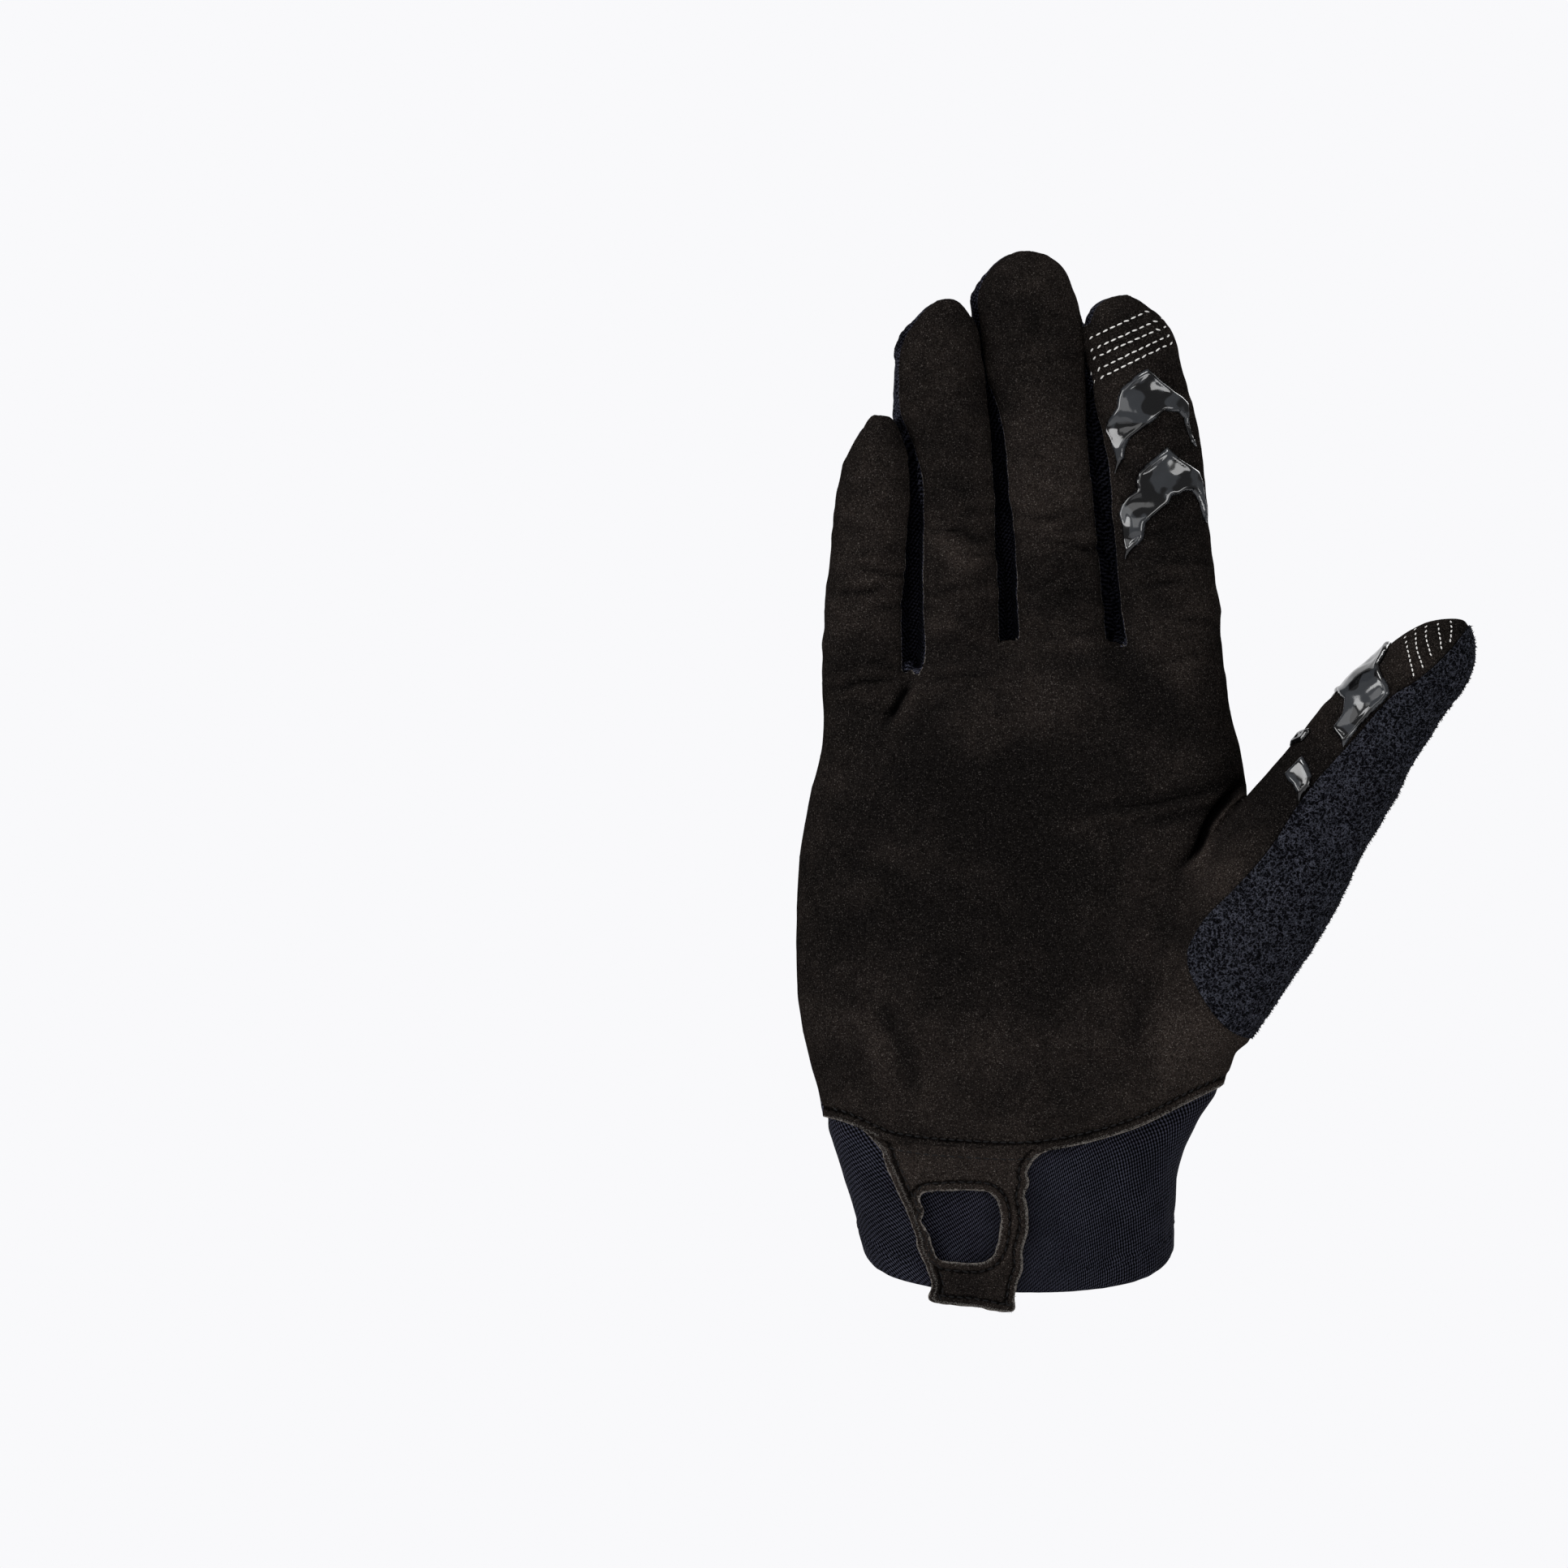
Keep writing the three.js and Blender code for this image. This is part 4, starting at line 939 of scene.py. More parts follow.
def hair():
    """A thin spike along Z, from 0 to 1."""
    bm = bmesh.new()
    bmesh.ops.create_cone(bm, cap_ends=True, segments=3, radius1=1, radius2=0.25, depth=1,
                          matrix=Matrix.Translation((0, 0, 0.5)))
    return bm


# %% Lay a flat pattern on a surface
class Surface:
    """Finds where lines along one direction meet a surface."""

    def __init__(self, bm, toward=Vector((0, 1, 0))):
        self.tree, self.toward = BVHTree.FromBMesh(bm), toward

    def at(self, p, lift=0.0, back=90):
        hit, normal, _, _ = self.tree.ray_cast(Vector(p) - self.toward * back, self.toward)
        return (hit + normal * lift, normal) if hit else (None, None)


palm_side = Surface(skin)
print("a point on the palm:", palm_side.at((10, 0, 80))[0])

# %% [markdown]
# ## The pull tab
# It starts as a flat grid that is cut along its outline and its window. It is then laid over the shape of
# the hand, which is run on below the cuff's rim so that the tab's end can hang past it. Near the palm it
# comes down to the skin, because there it is the same piece of suede.

# %% Make the pull tab
TAB = dict(step=0.5, lift=1.75, tucked=0.45, rise=7, thick=1.1)


def flat_grid(low, high, step):
    """A grid of faces in the plane of x and z."""
    bm = bmesh.new()
    size = np.array(high) - low
    bmesh.ops.create_grid(bm, x_segments=int(size[0] / step), y_segments=int(size[1] / step), size=1)
    for v in bm.verts:
        v.co = (low[0] + (v.co.x + 1) / 2 * size[0], 0, low[1] + (v.co.y + 1) / 2 * size[1])
    return bm


def cut_out(bm, number):
    """Keeps what lies where number is above 0."""
    cut_along(bm, number)
    centres = np.array([f.calc_center_median() for f in bm.faces])
    outside = [f for f, value in zip(bm.faces, number(centres)) if value < 0]
    bmesh.ops.delete(bm, geom=outside, context="FACES")


def frayed(p, outline):
    """The outline with the small waves of a raw edge."""
    return inside_outline(p[:, [0, 2]], outline) + 0.22 * noise_at(p, 1.7, 7.7)


tab = flat_grid(tab_line.min(0) - 1, tab_line.max(0) + 1, TAB["step"])
cut_out(tab, lambda p: frayed(p, tab_line))
cut_out(tab, lambda p: -frayed(p, window_line))
cut_out(tab, lambda p: -above_cuff(p) + 0.6)
tab_edge = np.minimum(inside_outline(points_of(tab)[:, [0, 2]], tab_line),
                      -inside_outline(points_of(tab)[:, [0, 2]], window_line))
hand_shape = Surface(tube(lambda share, turn: hand_point(-0.3 + 0.75 * share, turn), 90, 44))
below_palm = -above_cuff(points_of(tab))
lift = TAB["tucked"] + (TAB["lift"] - TAB["tucked"]) * smooth_step(0.5, TAB["rise"], below_palm)
lift += 0.25 * np.exp(-(((tab_edge - 0.9) / 0.7) ** 2)) - 0.25 * np.exp(-((tab_edge / 0.5) ** 2))
lift -= 0.42 * np.exp(-(((tab_edge - STITCH_INSET) / 0.5) ** 2)) * smooth_step(1.5, 3, below_palm)
lift += 0.3 * noise_at(points_of(tab), 9, 2.2)
move_to(tab, [hand_shape.at(v.co, h)[0] for v, h in zip(tab.verts, lift)])
soften(tab, [v for v in tab.verts if not v.is_boundary], 2)
print("faces of the tab:", len(tab.faces))

# %% [markdown]
# ## Silicone chevrons
# Silicone is printed on the suede as a thick paste, so its edges are round, it is fullest a little inside
# its edge, and its top is not quite even. Each grip is cut out of a flat grid and laid on the finger or the
# thumb.

# %% Make the grips
GRIP_HEIGHT = 0.95
THUMB_ROUND, FINGER_ROUND = 12, 11  # the radius that a grip is rolled round, in mm
PAD = math.radians(THUMB["pad"])
THUMB_OUT = -ACROSS * math.cos(PAD) - Vector((0, math.sin(PAD), 0))
GRIPS = {  # on a finger or the thumb, the share of its length at its peak, and the outline
    "index_grip_upper": dict(on="index", peak=0.833, islands=[[
        (1413, 455), (1428, 469), (1441, 479), (1454, 489), (1462, 497), (1463, 510), (1464, 524),
        (1468, 538), (1474, 551), (1466, 546), (1461, 531), (1457, 516), (1450, 509), (1439, 508),
        (1433, 507), (1422, 518), (1411, 527), (1399, 536), (1390, 544), (1386, 553), (1385, 565),
        (1378, 577), (1373, 585), (1376, 569), (1373, 556), (1368, 543), (1363, 532), (1364, 521),
        (1370, 513), (1376, 503), (1377, 490), (1380, 481), (1389, 473), (1399, 464)]]),
    "index_grip_lower": dict(on="index", peak=0.661, islands=[[
        (1437, 552), (1446, 560), (1457, 568), (1468, 575), (1475, 580), (1480, 594), (1483, 613),
        (1485, 631), (1487, 646), (1481, 636), (1477, 623), (1472, 611), (1467, 605), (1459, 605),
        (1450, 611), (1443, 611), (1439, 622), (1428, 630), (1420, 637), (1411, 645), (1410, 653),
        (1408, 665), (1400, 673), (1392, 682), (1385, 692), (1387, 679), (1384, 666), (1382, 646),
        (1379, 633), (1382, 623), (1390, 611), (1400, 604), (1398, 594), (1402, 582), (1411, 574),
        (1422, 565)]]),
    "thumb_grip_upper": dict(on="thumb", peak=0.865, mirror=True, islands=[[
        (1712, 792), (1706, 802), (1701, 811), (1695, 821), (1698, 833), (1704, 845), (1706, 856),
        (1697, 867), (1681, 883), (1672, 893), (1663, 904), (1656, 914), (1650, 921), (1646, 911),
        (1639, 901), (1638, 897), (1644, 890), (1650, 881), (1653, 864), (1646, 856), (1642, 848)]]),
    "thumb_grip_lower": dict(on="thumb", peak=0.662, islands=[[
        (1601, 932), (1607, 943), (1612, 957), (1610, 969), (1601, 979), (1596, 988), (1594, 977),
        (1590, 968), (1583, 961), (1580, 954), (1591, 943)], [
        (1611, 898), (1611, 903), (1602, 914), (1588, 920), (1584, 914), (1596, 900)]]),
}


def grip_frame(grip):
    """Centre of the finger at the peak, the way across it, along it and out of its pad, and its radius."""
    if grip["on"] == "thumb":
        return thumb_centre(grip["peak"]), ALONG.cross(THUMB_OUT).normalized(), ALONG, THUMB_OUT, THUMB_ROUND
    finger = FINGERS[grip["on"]]
    height = FINGER_ROOT + finger["length"] * grip["peak"]
    f = finger_frame(finger, height)
    roll = math.radians(finger["roll"])
    up, out = Vector((0, 0, 1)), Vector((math.sin(roll), -math.cos(roll), 0))
    return Vector((float(f["x"]), float(f["y"]), height)), up.cross(out), up, out, FINGER_ROUND


def unrolled(path, grip):
    """Places on the photograph as mm round the finger and along it."""
    centre, across, along, out, radius = grip_frame(grip)
    for x, z in from_photo(path):
        hit = palm_side.at((x, 0, z))[0] or palm_side.tree.find_nearest(Vector((x, centre.y, z)))[0]
        away = hit - centre
        yield radius * math.atan2(away.dot(across), away.dot(out)), away.dot(along)


def grip_outline(path, grip):
    """A closed outline in mm. Where only half of a grip is listed, the other half is its mirror image."""
    half = np.array(list(unrolled(path, grip)))
    if grip.get("mirror"):
        middle = (half[0, 0] + half[-1, 0]) / 2
        half = np.vstack([half, np.array([2 * middle, 0]) + half[::-1] * (-1, 1)])
    outline = np.vstack([half, half[:1]])
    outline = np.vstack([np.linspace(a, b, 5, endpoint=False) for a, b in zip(outline[:-1], outline[1:])])
    return np.vstack([outline, outline[:1]])


def make_grip(grip):
    centre, across, along, out, radius = grip_frame(grip)
    islands = []
    for path in grip["islands"]:
        outline = grip_outline(path, grip)
        bm = flat_grid(outline.min(0) - 0.6, outline.max(0) + 0.6, 0.36)
        number = lambda p: inside_outline(p[:, [0, 2]], outline) + 0.1 * noise_at(p, 2.0, grip["peak"] * 9)
        cut_out(bm, number)
        flat = points_of(bm)
        edge = number(flat)
        high = GRIP_HEIGHT * smooth_step(-0.2, 0.8, edge) ** 0.6 + 0.2 * np.exp(-(((edge - 0.75) / 0.4) ** 2))
        wavy = 0.6 * noise_at(flat, 5.5, 4.4) + 0.12 * noise_at(flat, 2.4, 6.1)
        high += wavy * smooth_step(0.4, 1.5, edge)
        for v, h in zip(bm.verts, high):
            turn = v.co.x / radius
            place, ray = centre + along * v.co.z, out * math.cos(turn) + across * math.sin(turn)
            hit, normal, _, _ = palm_side.tree.ray_cast(place + ray * 19, -ray)
            v.co = hit + (normal * 0.5 + ray * 0.5).normalized() * (h + 0.05) if hit else place + ray * radius
        soften(bm, [v for v in bm.verts if not v.is_boundary])
        islands.append(bm)
    return joined(islands)


grips = {name: make_grip(grip) for name, grip in GRIPS.items()}
print("faces of the grips:", {name: len(bm.faces) for name, bm in grips.items()})

# %% [markdown]
# ## Stitches
# A stitch is a short bead of thread that sinks in at both ends. Rows of white ones close the tips of the
# index finger and the thumb, and dark ones run along the palm's edge and round the tab.

# %% Rows of stitches
def along_row(path, pitch):
    """Places a pitch apart on a path of x and z, and the way that it runs there."""
    line = path if len(path) != 3 else smooth_line(path, 8)
    steps = np.hypot(*np.diff(line, axis=0).T)
    total = np.concatenate([[0], np.cumsum(steps)])
    for s in np.arange(pitch / 2, total[-1], pitch):
        i = min(np.searchsorted(total, s, side="right") - 1, len(steps) - 1)
        way = (line[i + 1] - line[i]) / steps[i]
        yield line[i] + way * (s - total[i]), way


def stitch_frames(path, surface, stitch, lift, jitter):
    frames, draw = [], np.random.default_rng(int(abs(path[0][0]) * 100))
    for place, way in along_row(path, stitch["pitch"]):
        hit, normal = surface.at((place[0], 0, place[1]), lift)
        if hit is None:
            continue
        turn = draw.normal(0, jitter)
        run = Vector((way[0], 0, way[1])) @ Matrix.Rotation(turn, 3, "Y")
        run = (run - normal * run.dot(normal)).normalized()
        length, thick = stitch["length"], stitch["thick"]
        frames.append([hit, run.cross(normal) * thick / 2, normal * thick * 0.42, run * length / 2])
    return frames


INDEX_STITCH = dict(length=1.4, thick=0.44, pitch=1.8)
THUMB_STITCH = dict(length=0.85, thick=0.38, pitch=1.1)
EDGE_STITCH = dict(length=1.5, thick=0.42, pitch=2.0)
tip_frames = []
for row in TIP_ROWS:
    stitch = INDEX_STITCH if len(row) == 2 else THUMB_STITCH
    tip_frames += stitch_frames(from_photo(row), palm_side, stitch, 0.06, 0.14)
tip_stitches = many(bead(), tip_frames)
print("white stitches:", len(tip_frames))


def inset(line, by):
    """A closed line moved to its inner side."""
    way = np.gradient(line[:-1], axis=0)
    way /= np.hypot(*way.T)[:, None]
    x, z = line[:-1].T
    turn = np.sign((x * np.roll(z, -1) - np.roll(x, -1) * z).sum())
    return line[:-1] + turn * by * np.stack([-way[:, 1], way[:, 0]], 1)


def runs(line, keep):
    """The parts of a line that keep says yes to."""
    part = []
    for q, good in zip(line, keep(line)):
        if good:
            part.append(q)
        elif len(part) > 3:
            yield np.array(part)
        if not good:
            part = []
    if len(part) > 3:
        yield np.array(part)


def below_palm_by(distance):
    """Asks of points of x and z whether they are that far below the palm's edge."""
    return lambda q: above_cuff(np.array([(x, 0, z) for x, z in q])) < -distance


PALM_EDGE = (-46, 49)  # where the palm's lower edge starts and ends, in x
over_cuff = below_palm_by(2.2)
tab_top = Surface(tab)
seam_front = cuff_line[within(cuff_line[:, 0], *PALM_EDGE)]
at_tab = seam_front[np.abs(seam_front[:, 0] + 15) < 17]
dark_frames = stitch_frames(seam_front + (0, STITCH_INSET + 0.4), palm_side, EDGE_STITCH, 0.42, 0.1)
dark_frames += stitch_frames(at_tab - (0, 1.6), tab_top, EDGE_STITCH, 0.02, 0.1)
for line, by in ((tab_line, STITCH_INSET), (window_line, -STITCH_INSET)):
    for part in runs(inset(line, by), over_cuff):
        dark_frames += stitch_frames(part, tab_top, EDGE_STITCH, 0.05, 0.1)
dark_stitches = many(bead(), dark_frames)
print("dark stitches:", len(dark_frames))

# %% [markdown]
# ## Frayed edges and terry loops
# A cut edge of suede sheds pale fibres. Terry is a field of small loops of yarn, which break up its
# outline. Both are thin spikes that lean at random, and the random numbers start from a fixed seed so that
# each run looks the same.

# %% Fibres along the raw edges
FIBRES = dict(length=0.62, thick=0.1, spread=0.45)


def fibre_frames(places, normals, ways, fibre, draw):
    """A spike at each place that leans between its normal and its way."""
    frames = []
    for place, normal, way in zip(places, normals, ways):
        lean = (Vector(way) * draw.uniform(0.3, 1) + Vector(normal) * draw.uniform(0.1, 0.6)
                + Vector(draw.normal(0, fibre["spread"], 3))).normalized()
        side = lean.orthogonal().normalized()
        frames.append([place, side * fibre["thick"] / 2, lean.cross(side) * fibre["thick"] / 2,
                       lean * fibre["length"] * draw.uniform(0.4, 1.2)])
    return frames


def edge_fibres(line, surface, outward, lift, per_mm, draw):
    """outward is 1 where the fibres point to the left of the line's run, and -1 to its right."""
    places, normals, ways = [], [], []
    for place, way in along_row(line, 1 / per_mm):
        side = np.array((-way[1], way[0])) * outward
        at = place - side * draw.uniform(0.05, 0.4)
        hit, normal = surface.at((at[0], 0, at[1]), lift)
        if hit is not None:
            places.append(hit)
            normals.append(normal)
            ways.append((side[0], 0, side[1]))
    return fibre_frames(places, normals, ways, FIBRES, draw)


draw = np.random.default_rng(11)
edge_frames = []
beside_tab = lambda q: within(q[:, 0], *PALM_EDGE) & (np.abs(q[:, 0] + 14.5) > 19)
for part in runs(cuff_line, beside_tab):
    edge_frames += edge_fibres(part + (0, 0.25), palm_side, -1, 0.3, 9, draw)
below_seam = below_palm_by(0.6)
for part in runs(inset(tab_line, 0.3), below_seam):
    edge_frames += edge_fibres(part, tab_top, -1, 0.0, 9, draw)
for part in runs(inset(window_line, -0.3), below_seam):
    edge_frames += edge_fibres(part, tab_top, 1, 0.0, 10, draw)
fibres = many(hair(), edge_frames)
print("fibres:", len(edge_frames))

# %% [markdown]
# ## Finishes
# A finish is a small web of nodes. Number wraps a socket, so that shader sums can be written as ordinary
# sums, and Finish has one method that adds any other node. Textures read Object coordinates in millimetres,
# except for the weaves, which read the weave attribute that runs with each panel's cloth.

# %% Numbers and finishes
class Number:
    """A socket of a shader that can be added, multiplied and so on."""

    def __init__(self, tree, socket):
        self.tree, self.socket = tree, socket

    def math(self, operation, *values):
        node = self.tree.nodes.new("ShaderNodeMath")
        node.operation = operation
        for slot, value in zip(node.inputs, values):
            if isinstance(value, Number):
                self.tree.links.new(value.socket, slot)
            else:
                slot.default_value = value
        return Number(self.tree, node.outputs[0])

    def __add__(self, other):
        return self.math("ADD", self, other)

    def __sub__(self, other):
        return self.math("SUBTRACT", self, other)

    def __rsub__(self, other):
        return self.math("SUBTRACT", other, self)

    def __mul__(self, other):
        return self.math("MULTIPLY", self, other)

    __radd__, __rmul__ = __add__, __mul__

    def wave(self):
        return self.math("SINE", self)

    def between(self, low, high):
        """0 below low, 1 above high, smooth between."""
        node = self.tree.nodes.new("ShaderNodeMapRange")
        node.interpolation_type = "SMOOTHSTEP"
        self.tree.links.new(self.socket, node.inputs["Value"])
        node.inputs["From Min"].default_value, node.inputs["From Max"].default_value = low, high
        return Number(self.tree, node.outputs["Result"])


def colour(r, g, b):
    """A colour as a photo editor shows it, from 0 to 255, as light."""
    return *[(c / 255 / 12.92) if c <= 10 else ((c / 255 + 0.055) / 1.055) ** 2.4 for c in (r, g, b)], 1.0


class Finish:
    def __init__(self, name, **constants):
        self.material = bpy.data.materials.new(name)
        self.material.use_nodes = True
        self.tree = self.material.node_tree
        self.surface = self.tree.nodes["Principled BSDF"]
        for socket, value in constants.items():
            self.surface.inputs[socket.replace("_", " ")].default_value = value

    def node(self, kind, settings=(), inputs=(), output=0):
        node = self.tree.nodes.new("ShaderNode" + kind)
        for name, value in dict(settings).items():
            setattr(node, name, value)
        for name, value in dict(inputs).items():
            slot = next(s for s in node.inputs if name in (s.identifier, s.name))
            if isinstance(value, Number):
                self.tree.links.new(value.socket, slot)
            else:
                slot.default_value = value
        return Number(self.tree, node.outputs[output])

    def place(self):
        metres = self.node("TexCoord", output=3)
        return self.node("VectorMath", {"operation": "SCALE"}, {"Vector": metres, "Scale": 1000})

    def attribute(self, name, output=2):
        return self.node("Attribute", {"attribute_name": name}, output=output)

    def noise(self, size, detail=2, rough=0.5):
        """Soft noise from 0 to 1 with spots of about that many millimetres."""
        inputs = {"Vector": self.place(), "Scale": 1 / size, "Detail": detail, "Roughness": rough}
        return self.node("TexNoise", (), inputs)

    def mix(self, share, a, b):
        return self.node("Mix", {"data_type": "RGBA"}, {"Factor_Float": share, "A_Color": a, "B_Color": b}, 2)

    def set(self, socket, value):
        self.tree.links.new(value.socket, self.surface.inputs[socket])

    def bump(self, height, depth, strength=1.0):
        """height from 0 to 1 stands up by depth in mm."""
        inputs = {"Height": height, "Distance": depth / 1000, "Strength": strength}
        self.set("Normal", self.node("Bump", (), inputs))


# %% [markdown]
# ### Suede
# Synthetic suede is a dense felt whose nap is brushed this way and that: patches of lighter and darker nap
# some 8 mm wide, a fine grain of about half a millimetre, and next to no shine. Its cut edges are pale and
# ragged, since the dye doesn't reach the middle of the cloth.

# %% Make the suede
def suede(name):
    cloth = Finish(name, Specular_IOR_Level=0)
    brushed = cloth.noise(3.2, 3).between(0.28, 0.72)
    grain = cloth.noise(0.45, 3, rough=0.8).between(0.32, 0.68)
    fine = cloth.noise(0.28, 1)
    # The attribute read here holds the worn nap together with painted shade and light.
    light = cloth.attribute("wear_and_shade") + 0.23 + brushed * 0.12
    tone_share = light.between(0.0, 1.0)
    tone = cloth.mix(tone_share, colour(24, 22, 21), colour(60, 53, 49))
    tone = cloth.mix(0.8 - grain * 0.8, tone, colour(0, 0, 0))
    specks = cloth.mix(tone_share, colour(86, 81, 78), colour(146, 137, 130))
    tone = cloth.mix(fine.between(0.6, 0.74) * 0.42, tone, specks)
    # Painted shade: the suede is darkened almost to black along the narrow creases.
    crease = cloth.attribute("crease")
    tone = cloth.mix((1 - crease.between(0.0, 1.0)) * 0.85, tone, colour(1, 1, 1))
    ragged = (cloth.noise(0.5, 2) - 0.5) * 1.3
    off_row = cloth.attribute("from_row") + ragged - 2.1
    row = 1 - off_row.math("ABSOLUTE", off_row).between(0.1, 0.75)
    tone = cloth.mix(row * 0.85, tone, colour(2, 2, 2))
    edge = cloth.attribute("from_edge") + ragged
    tone = cloth.mix((1 - edge.between(0.0, 0.4)) * 0.6, tone, colour(136, 130, 124))
    cloth.set("Base Color", tone)
    cloth.set("Roughness", 0.84 + grain * 0.14)
    cloth.bump(grain * 0.6 + brushed * 0.3 + fine * 0.2, 0.4, 0.85)
    return cloth.material


# %% [markdown]
# ### Knit, elastic and terry
# The gussets and the back are a smooth knit with fine diagonal ribs. The cuff is an elastic twill with
# still finer ones. Terry has no weave to see: it is a field of loops, with painted shade between them and
# painted light on top.

# %% Make the knits and the terry
KNIT_NAME = "fine knit"


def ribbed(name, pitch, low, high, contrast):
    cloth = Finish(name, Specular_IOR_Level=0.01, Roughness=0.8)
    weave = cloth.node("SeparateXYZ", (), {"Vector": cloth.attribute("weave", 1)})
    u, v = weave, Number(cloth.tree, weave.socket.node.outputs[1])
    sway = (cloth.noise(4, 1) - 0.5) * 0.5
    ribs = ((u + v * 0.6 + sway) * (2 * math.pi / pitch)).wave() * 0.5 + 0.5
    knots = ((u * 0.35 - v + sway) * (2 * math.pi / (pitch * 1.1))).wave() * 0.5 + 0.5
    yarn = cloth.noise(0.4, 2, rough=0.7).between(0.3, 0.7)
    tone_share = cloth.noise(8, 3).between(0.3, 0.7)
    height = ribs * 0.6 + knots * 0.4
    tone = cloth.mix((height * contrast + yarn * (1 - contrast)).between(0.38, 0.8), low, high)
    tone = cloth.mix(tone_share * 0.3, tone, low)
    # Painted shade: the gussets darken with their distance from the seams, deep in the slots between the
    # fingers.
    if name == KNIT_NAME:
        tone = cloth.mix(cloth.attribute("from_edge").between(0.5, 2.1) * 0.7, tone, low)
    cloth.set("Base Color", tone)
    cloth.bump(height * 0.8 + yarn * 0.3, 0.3, 0.9)
    return cloth.material


def terry(name):
    cloth = Finish(name, Specular_IOR_Level=0.01, Roughness=0.95)
    curls = cloth.noise(1.2, 2, rough=0.6) - 0.5
    loops = 1 - curls.math("ABSOLUTE", curls) * 11
    small = cloth.noise(0.45, 2, rough=0.75).between(0.35, 0.65)
    tufts = cloth.noise(3.2, 2).between(0.3, 0.7)
    pile = loops.between(0, 1) * 0.6 + small * 0.4
    # Painted shade between the loops and painted light on their tops: the tone follows the pile's height.
    tone = cloth.mix(pile.between(0.1, 1.0), colour(6, 6, 8), colour(71, 73, 83))
    cloth.set("Base Color", cloth.mix(tufts * 0.3, tone, colour(4, 4, 6)))
    cloth.bump(pile, 0.8, 0.9)
    return cloth.material


# %% [markdown]
# ### Silicone and thread
# Silicone is black and glossy, with a slow wave in its top that breaks up the lights, and grey patches of
# painted reflection in its colour. Thread is twisted, which shows as fine slanting lines.

# %% Make the silicone and the threads
def silicone(name):
    rubber = Finish(name, Specular_IOR_Level=0.45, Coat_Weight=0.25, Coat_Roughness=0.05)
    slow = rubber.noise(5, 1)
    # Painted reflection: grey patches in the base colour stand in for reflections on the glossy black.
    painted_reflections = rubber.noise(5.5, 1).between(0.47, 0.52)
    rubber.set("Base Color", rubber.mix(painted_reflections, colour(9, 9, 10), colour(42, 44, 47)))
    rubber.set("Roughness", 0.08 + slow * 0.08)
    rubber.bump(slow, 0.5, 0.4)
    return rubber.material


def thread(name, tone, dark):
    twist = Finish(name, Specular_IOR_Level=0.2, Roughness=0.8)
    place = twist.place()
    strands = twist.node("SeparateXYZ", (), {"Vector": place})
    z = Number(twist.tree, strands.socket.node.outputs[2])
    lines = ((strands + z) * 22).wave() * 0.5 + 0.5
    twist.set("Base Color", twist.mix(lines * 0.5 + twist.noise(0.8) * 0.4, tone, dark))
    twist.bump(lines, 0.08, 0.6)
    return twist.material


SUEDE = suede("suede")
KNIT = ribbed(KNIT_NAME, 0.75, colour(1, 1, 2), colour(72, 73, 86), 0.6)
ELASTIC = ribbed("elastic twill", 0.9, colour(1, 1, 2), colour(56, 57, 68), 0.85)
TERRY = terry("terry loops")
SILICONE = silicone("black silicone")
WHITE_THREAD = thread("white thread", colour(240, 238, 234), colour(170, 168, 166))
DARK_THREAD = thread("black thread", colour(14, 13, 14), colour(4, 4, 5))
PALE_FIBRE = thread("pale fibres", colour(136, 132, 127), colour(76, 73, 70))
print("finishes:", [m.name for m in bpy.data.materials])

# %% [markdown]
# ## Finished pieces
# A piece goes into metres, gets its attributes, thickness and finish, and takes the place of its solid.

# %% Finish and place a piece
AROUND_CUFF = 46


def weave_of(p, kind):
    """Where each point is along the cloth's own two directions, in mm."""
    if kind == "cuff":
        turn = np.arctan2(p[:, 1] + 6, p[:, 0])
        return np.stack([turn * AROUND_CUFF, p[:, 2], np.zeros(len(p))], 1)
    if kind == "knit":
        return np.stack([p[:, 1], p[:, 2], np.zeros(len(p))], 1)
    b = between_fingers(p)
    side = np.tanh(p[:, 0] / 25)
    side += (np.tanh(b["across"] / 4) - side) * smooth_step(116, 142, p[:, 2])
    return np.stack([p[:, 0] - p[:, 1] * side, p[:, 2], np.zeros(len(p))], 1)


FLAT = {  # the cut's width and length in metres, how it is held, and what it lies on
    "palm_panel": ((0.165, 0.25), "stretched", ()), "back_panel": ((0.15, 0.24), "stretched", ()),
    "fourchette_little_ring": ((0.02, 0.155), "stretched", ()),
    "fourchette_ring_middle": ((0.02, 0.19), "stretched", ()),
    "fourchette_middle_index": ((0.02, 0.18), "stretched", ()),
    "thumb_wipe_panel": ((0.07, 0.125), "stretched", ()), "cuff": ((0.2, 0.045), "stretched", ()),
    "pull_tab": ((0.046, 0.042), "laid", ("cuff",)),
}


def finished(name, bm, finish, slot, node=None, thick=0, kind="", values=None):
    mesh = mesh_of(bm, name)
    if kind in ("cuff", "knit", "back"):
        weave = mesh.attributes.new("weave", "FLOAT_VECTOR", "POINT")
        weave.data.foreach_set("vector", weave_of(points_of(bm), kind).ravel())
    for title, numbers in (values or {}).items():
        attribute = mesh.attributes.new(title, "FLOAT", "POINT")
        attribute.data.foreach_set("value", np.asarray(numbers, float))
    area = sum(f.calc_area() for f in bm.faces)
    mesh.transform(Matrix.Scale(0.001, 4))
    mesh.shade_smooth()
    mesh.materials.append(finish)
    for face in mesh.polygons:
        face.material_index = 0
    piece = bpy.data.objects.new(name, mesh)
    bpy.context.scene.collection.objects.link(piece)
    if thick:
        wall = piece.modifiers.new("thickness", "SOLIDIFY")
        wall.thickness, wall.offset = thick / 1000, -1
    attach(piece, "root")
    if node:
        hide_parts(node)
    if node in FLAT:
        flat, held, rests_on = FLAT[node]
        area / 1e6
        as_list(rests_on)
    print(f"{name}: {len(mesh.polygons)} faces, {area / 100:.0f} cm2")


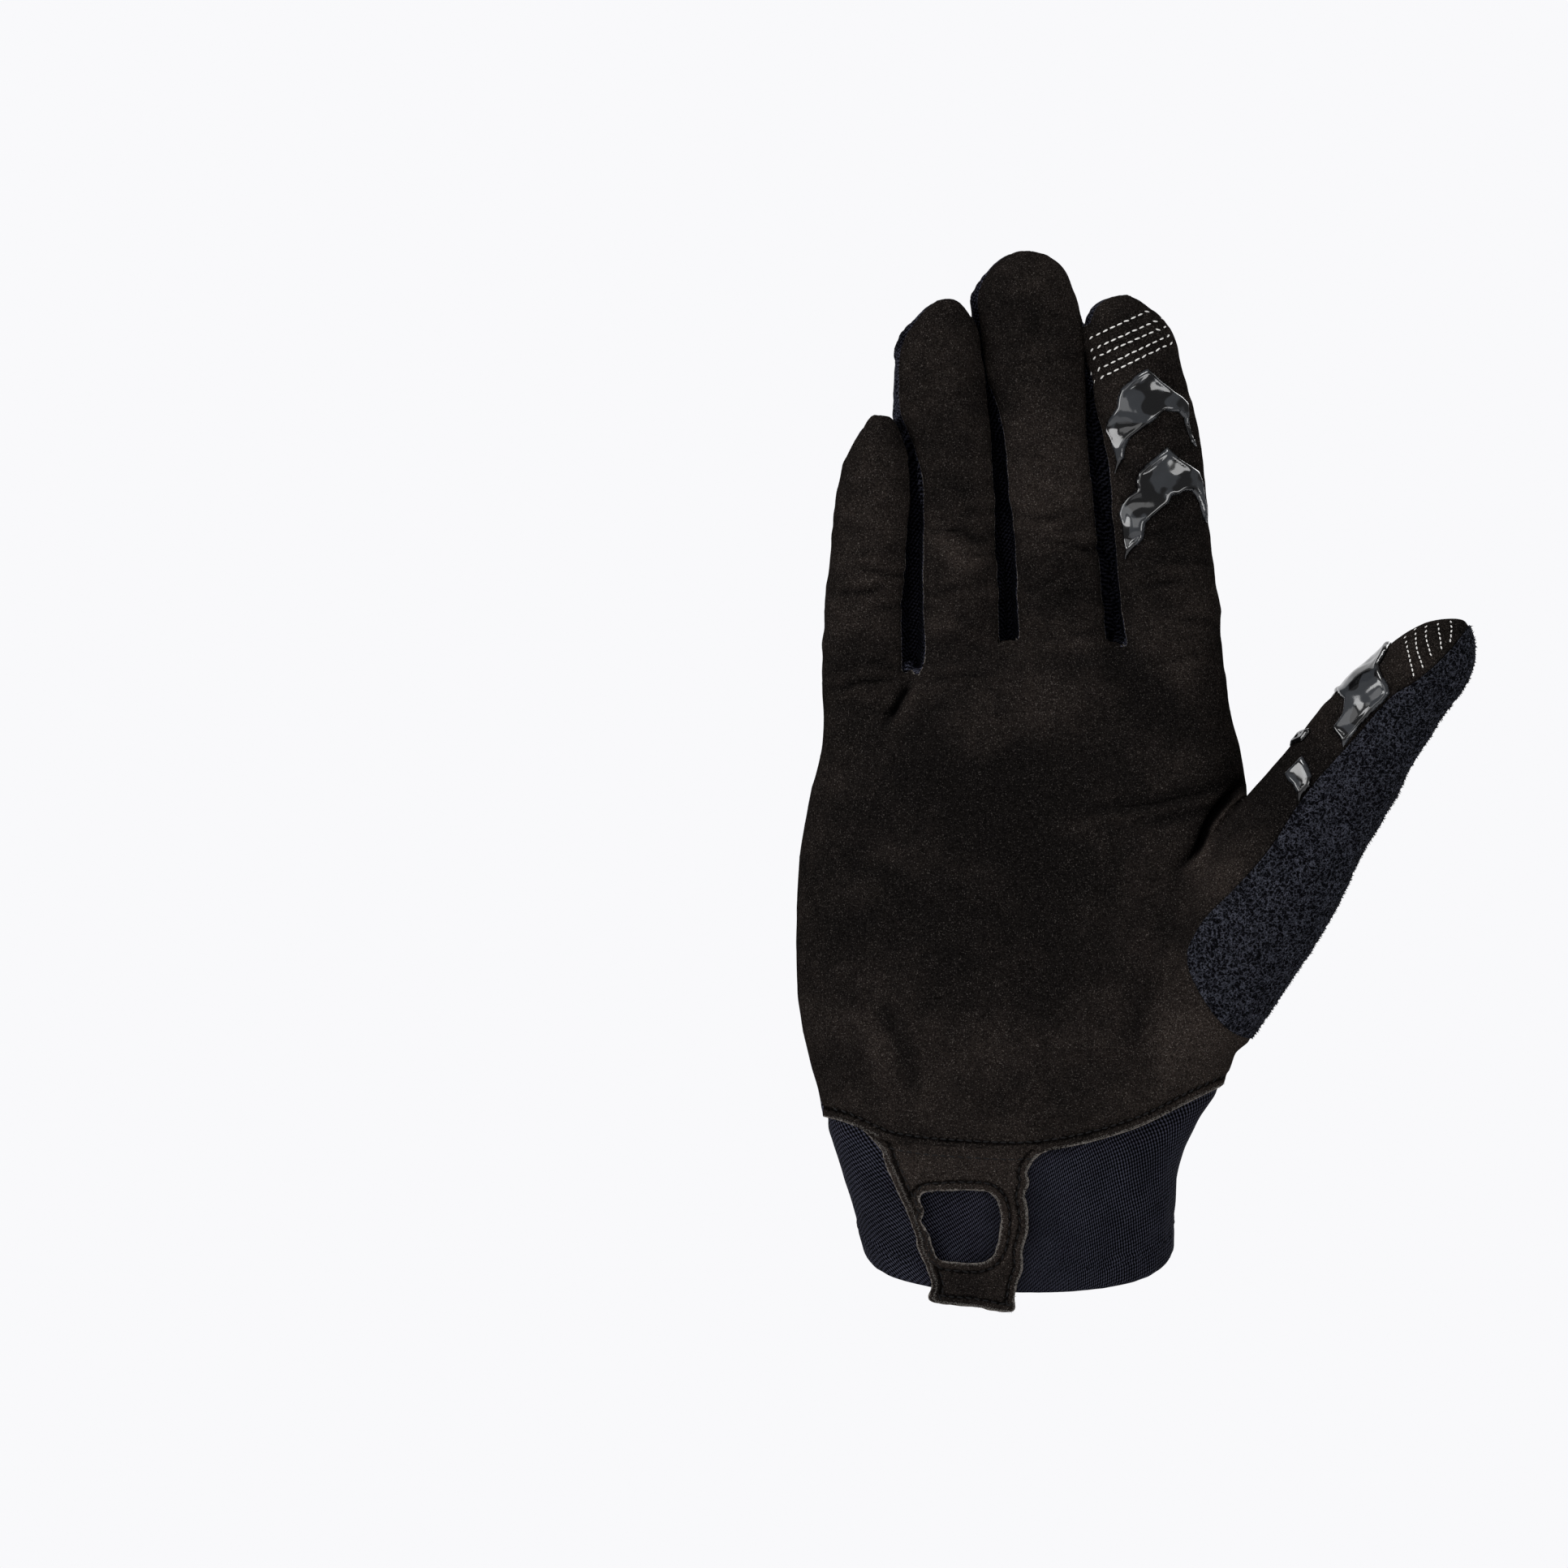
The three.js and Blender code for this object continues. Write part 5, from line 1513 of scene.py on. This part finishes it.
CLOTH = {"suede": (SUEDE, "suede"), "back": (KNIT, "knit"), "knit": (KNIT, "knit"), "terry": (TERRY, "terry"),
         "cuff": (ELASTIC, "elastic")}
for index, name in enumerate(PANELS):
    kind = KIND[index]
    bm, distances = panel(index)
    finish, slot = CLOTH[kind]
    values = distances if kind in ("suede", "knit") else {}
    finished("glove_" + name, bm, finish, slot, name, THICKNESS[kind], kind, values)
# The tab gets the same worn nap and painted shade and light, a little lighter.
tab_values = {"from_row": tab_edge, "from_edge": tab_edge, "wear_and_shade": wear_and_shade_at(points_of(tab)) + 0.12,
              "crease": np.full(len(tab.verts), FAR_AWAY)}
finished("glove_pull_tab", tab, SUEDE, "suede", "pull_tab", TAB["thick"], "", tab_values)
for name, bm in grips.items():
    finished("glove_" + name, bm, SILICONE, "silicone", name, 0.5)
finished("tip_stitches", tip_stitches, WHITE_THREAD, "suede")
finished("edge_stitches", dark_stitches, DARK_THREAD, "suede")
finished("raw_edge_fibres", fibres, PALE_FIBRE, "suede")

# %% Terry loops over the thumb
LOOPS = dict(count=7000, length=0.55, thick=0.28, spread=0.9)


def scattered(bm, count, draw):
    """Random places on the faces, as many on each as its area asks for, with their normals."""
    faces = list(bm.faces)
    areas = np.array([f.calc_area() for f in faces])
    for i in draw.choice(len(faces), count, p=areas / areas.sum()):
        corners = [v.co for v in faces[i].verts]
        share = draw.dirichlet(np.ones(len(corners)))
        yield sum((c * s for c, s in zip(corners, share)), Vector()), faces[i].normal


terry_bm, _ = panel(WIPE)
terry_bm.normal_update()
places, ways = zip(*scattered(terry_bm, LOOPS["count"], draw))
loop_frames = fibre_frames(places, ways, ways, LOOPS, draw)
finished("terry_loops", many(hair(), loop_frames), TERRY, "terry")

# %% [markdown]
# ## The camera, the light and the floor
# The photograph was taken square to the palm from far off, on a white ground. So the camera has a long lens
# and looks straight along Y, and the light is broad and soft, a little stronger from the upper left.

# %% Camera, lights and floor
CAMERA = dict(place=(-0.0562, -2.5, 0.1083), sensor=36, lens=243.3)
scene = bpy.context.scene
camera = bpy.data.objects.new("camera", bpy.data.cameras.new("camera"))
scene.collection.objects.link(camera)
scene.camera = camera
camera.location = CAMERA["place"]
camera.rotation_euler = (math.radians(90), 0, 0)
camera.data.sensor_width, camera.data.lens = CAMERA["sensor"], CAMERA["lens"]

WORLD = dict(Color=(1, 1, 1.02, 1), Strength=0.24)
world = bpy.data.worlds.new("studio")
world.use_nodes = True
for socket, value in WORLD.items():
    world.node_tree.nodes["Background"].inputs[socket].default_value = value
scene.world = world
scene.view_settings.view_transform = "Standard"

LIGHTS = [  # name, place in metres, width of the lamp and power in watts
    ("key", (-2.2, -1.1, 0.5), 1.3, 42),
    ("card", (-1.1, -2.7, 0.5), 1.9, 20),
    ("top", (-0.1, -0.8, 2.1), 0.8, 26),
    ("low", (1.3, -1.3, -0.3), 0.8, 13),
    ("rim", (0.9, 1.2, 0.9), 0.9, 12),
]
MIDDLE = Vector((0.02, 0, 0.11))  # the middle of the glove, which the lamps look at
for name, place, width, power in LIGHTS:
    lamp = bpy.data.objects.new(name, bpy.data.lights.new(name, "AREA"))
    lamp.data.size, lamp.data.energy = width, power
    lamp.location = place
    lamp.rotation_euler = (MIDDLE - lamp.location).to_track_quat("-Z", "Y").to_euler()
    scene.collection.objects.link(lamp)

BACKDROP = dict(away=4.0, height=0.1, size=4.0, white=(0.947, 0.947, 0.965, 1))
upright = Matrix.Translation((0, BACKDROP["away"], BACKDROP["height"])) @ Matrix.Rotation(math.pi / 2, 4, "X")
sheet = bmesh.new()
bmesh.ops.create_grid(sheet, x_segments=2, y_segments=2, size=BACKDROP["size"], matrix=upright)
backdrop = bpy.data.objects.new("backdrop", mesh_of(sheet, "backdrop"))
scene.collection.objects.link(backdrop)
lit = Finish("lit backdrop", Roughness=1, Specular_IOR_Level=0, Base_Color=(0, 0, 0, 1),
             Emission_Color=BACKDROP["white"], Emission_Strength=1)
backdrop.data.materials.append(lit.material)

FLOOR = dict(radius=0.45, height=-0.12)
disc = bmesh.new()
bmesh.ops.create_circle(disc, cap_ends=True, segments=96, radius=FLOOR["radius"],
                        matrix=Matrix.Translation((0.02, 0, FLOOR["height"])))
floor = bpy.data.objects.new("floor", mesh_of(disc, "floor"))
scene.collection.objects.link(floor)
paper = Finish("pale paper", Roughness=0.9, Specular_IOR_Level=0.1)
paper.set("Base Color", paper.mix(paper.noise(1.5), colour(238, 238, 240), colour(228, 228, 230)))
floor.data.materials.append(paper.material)
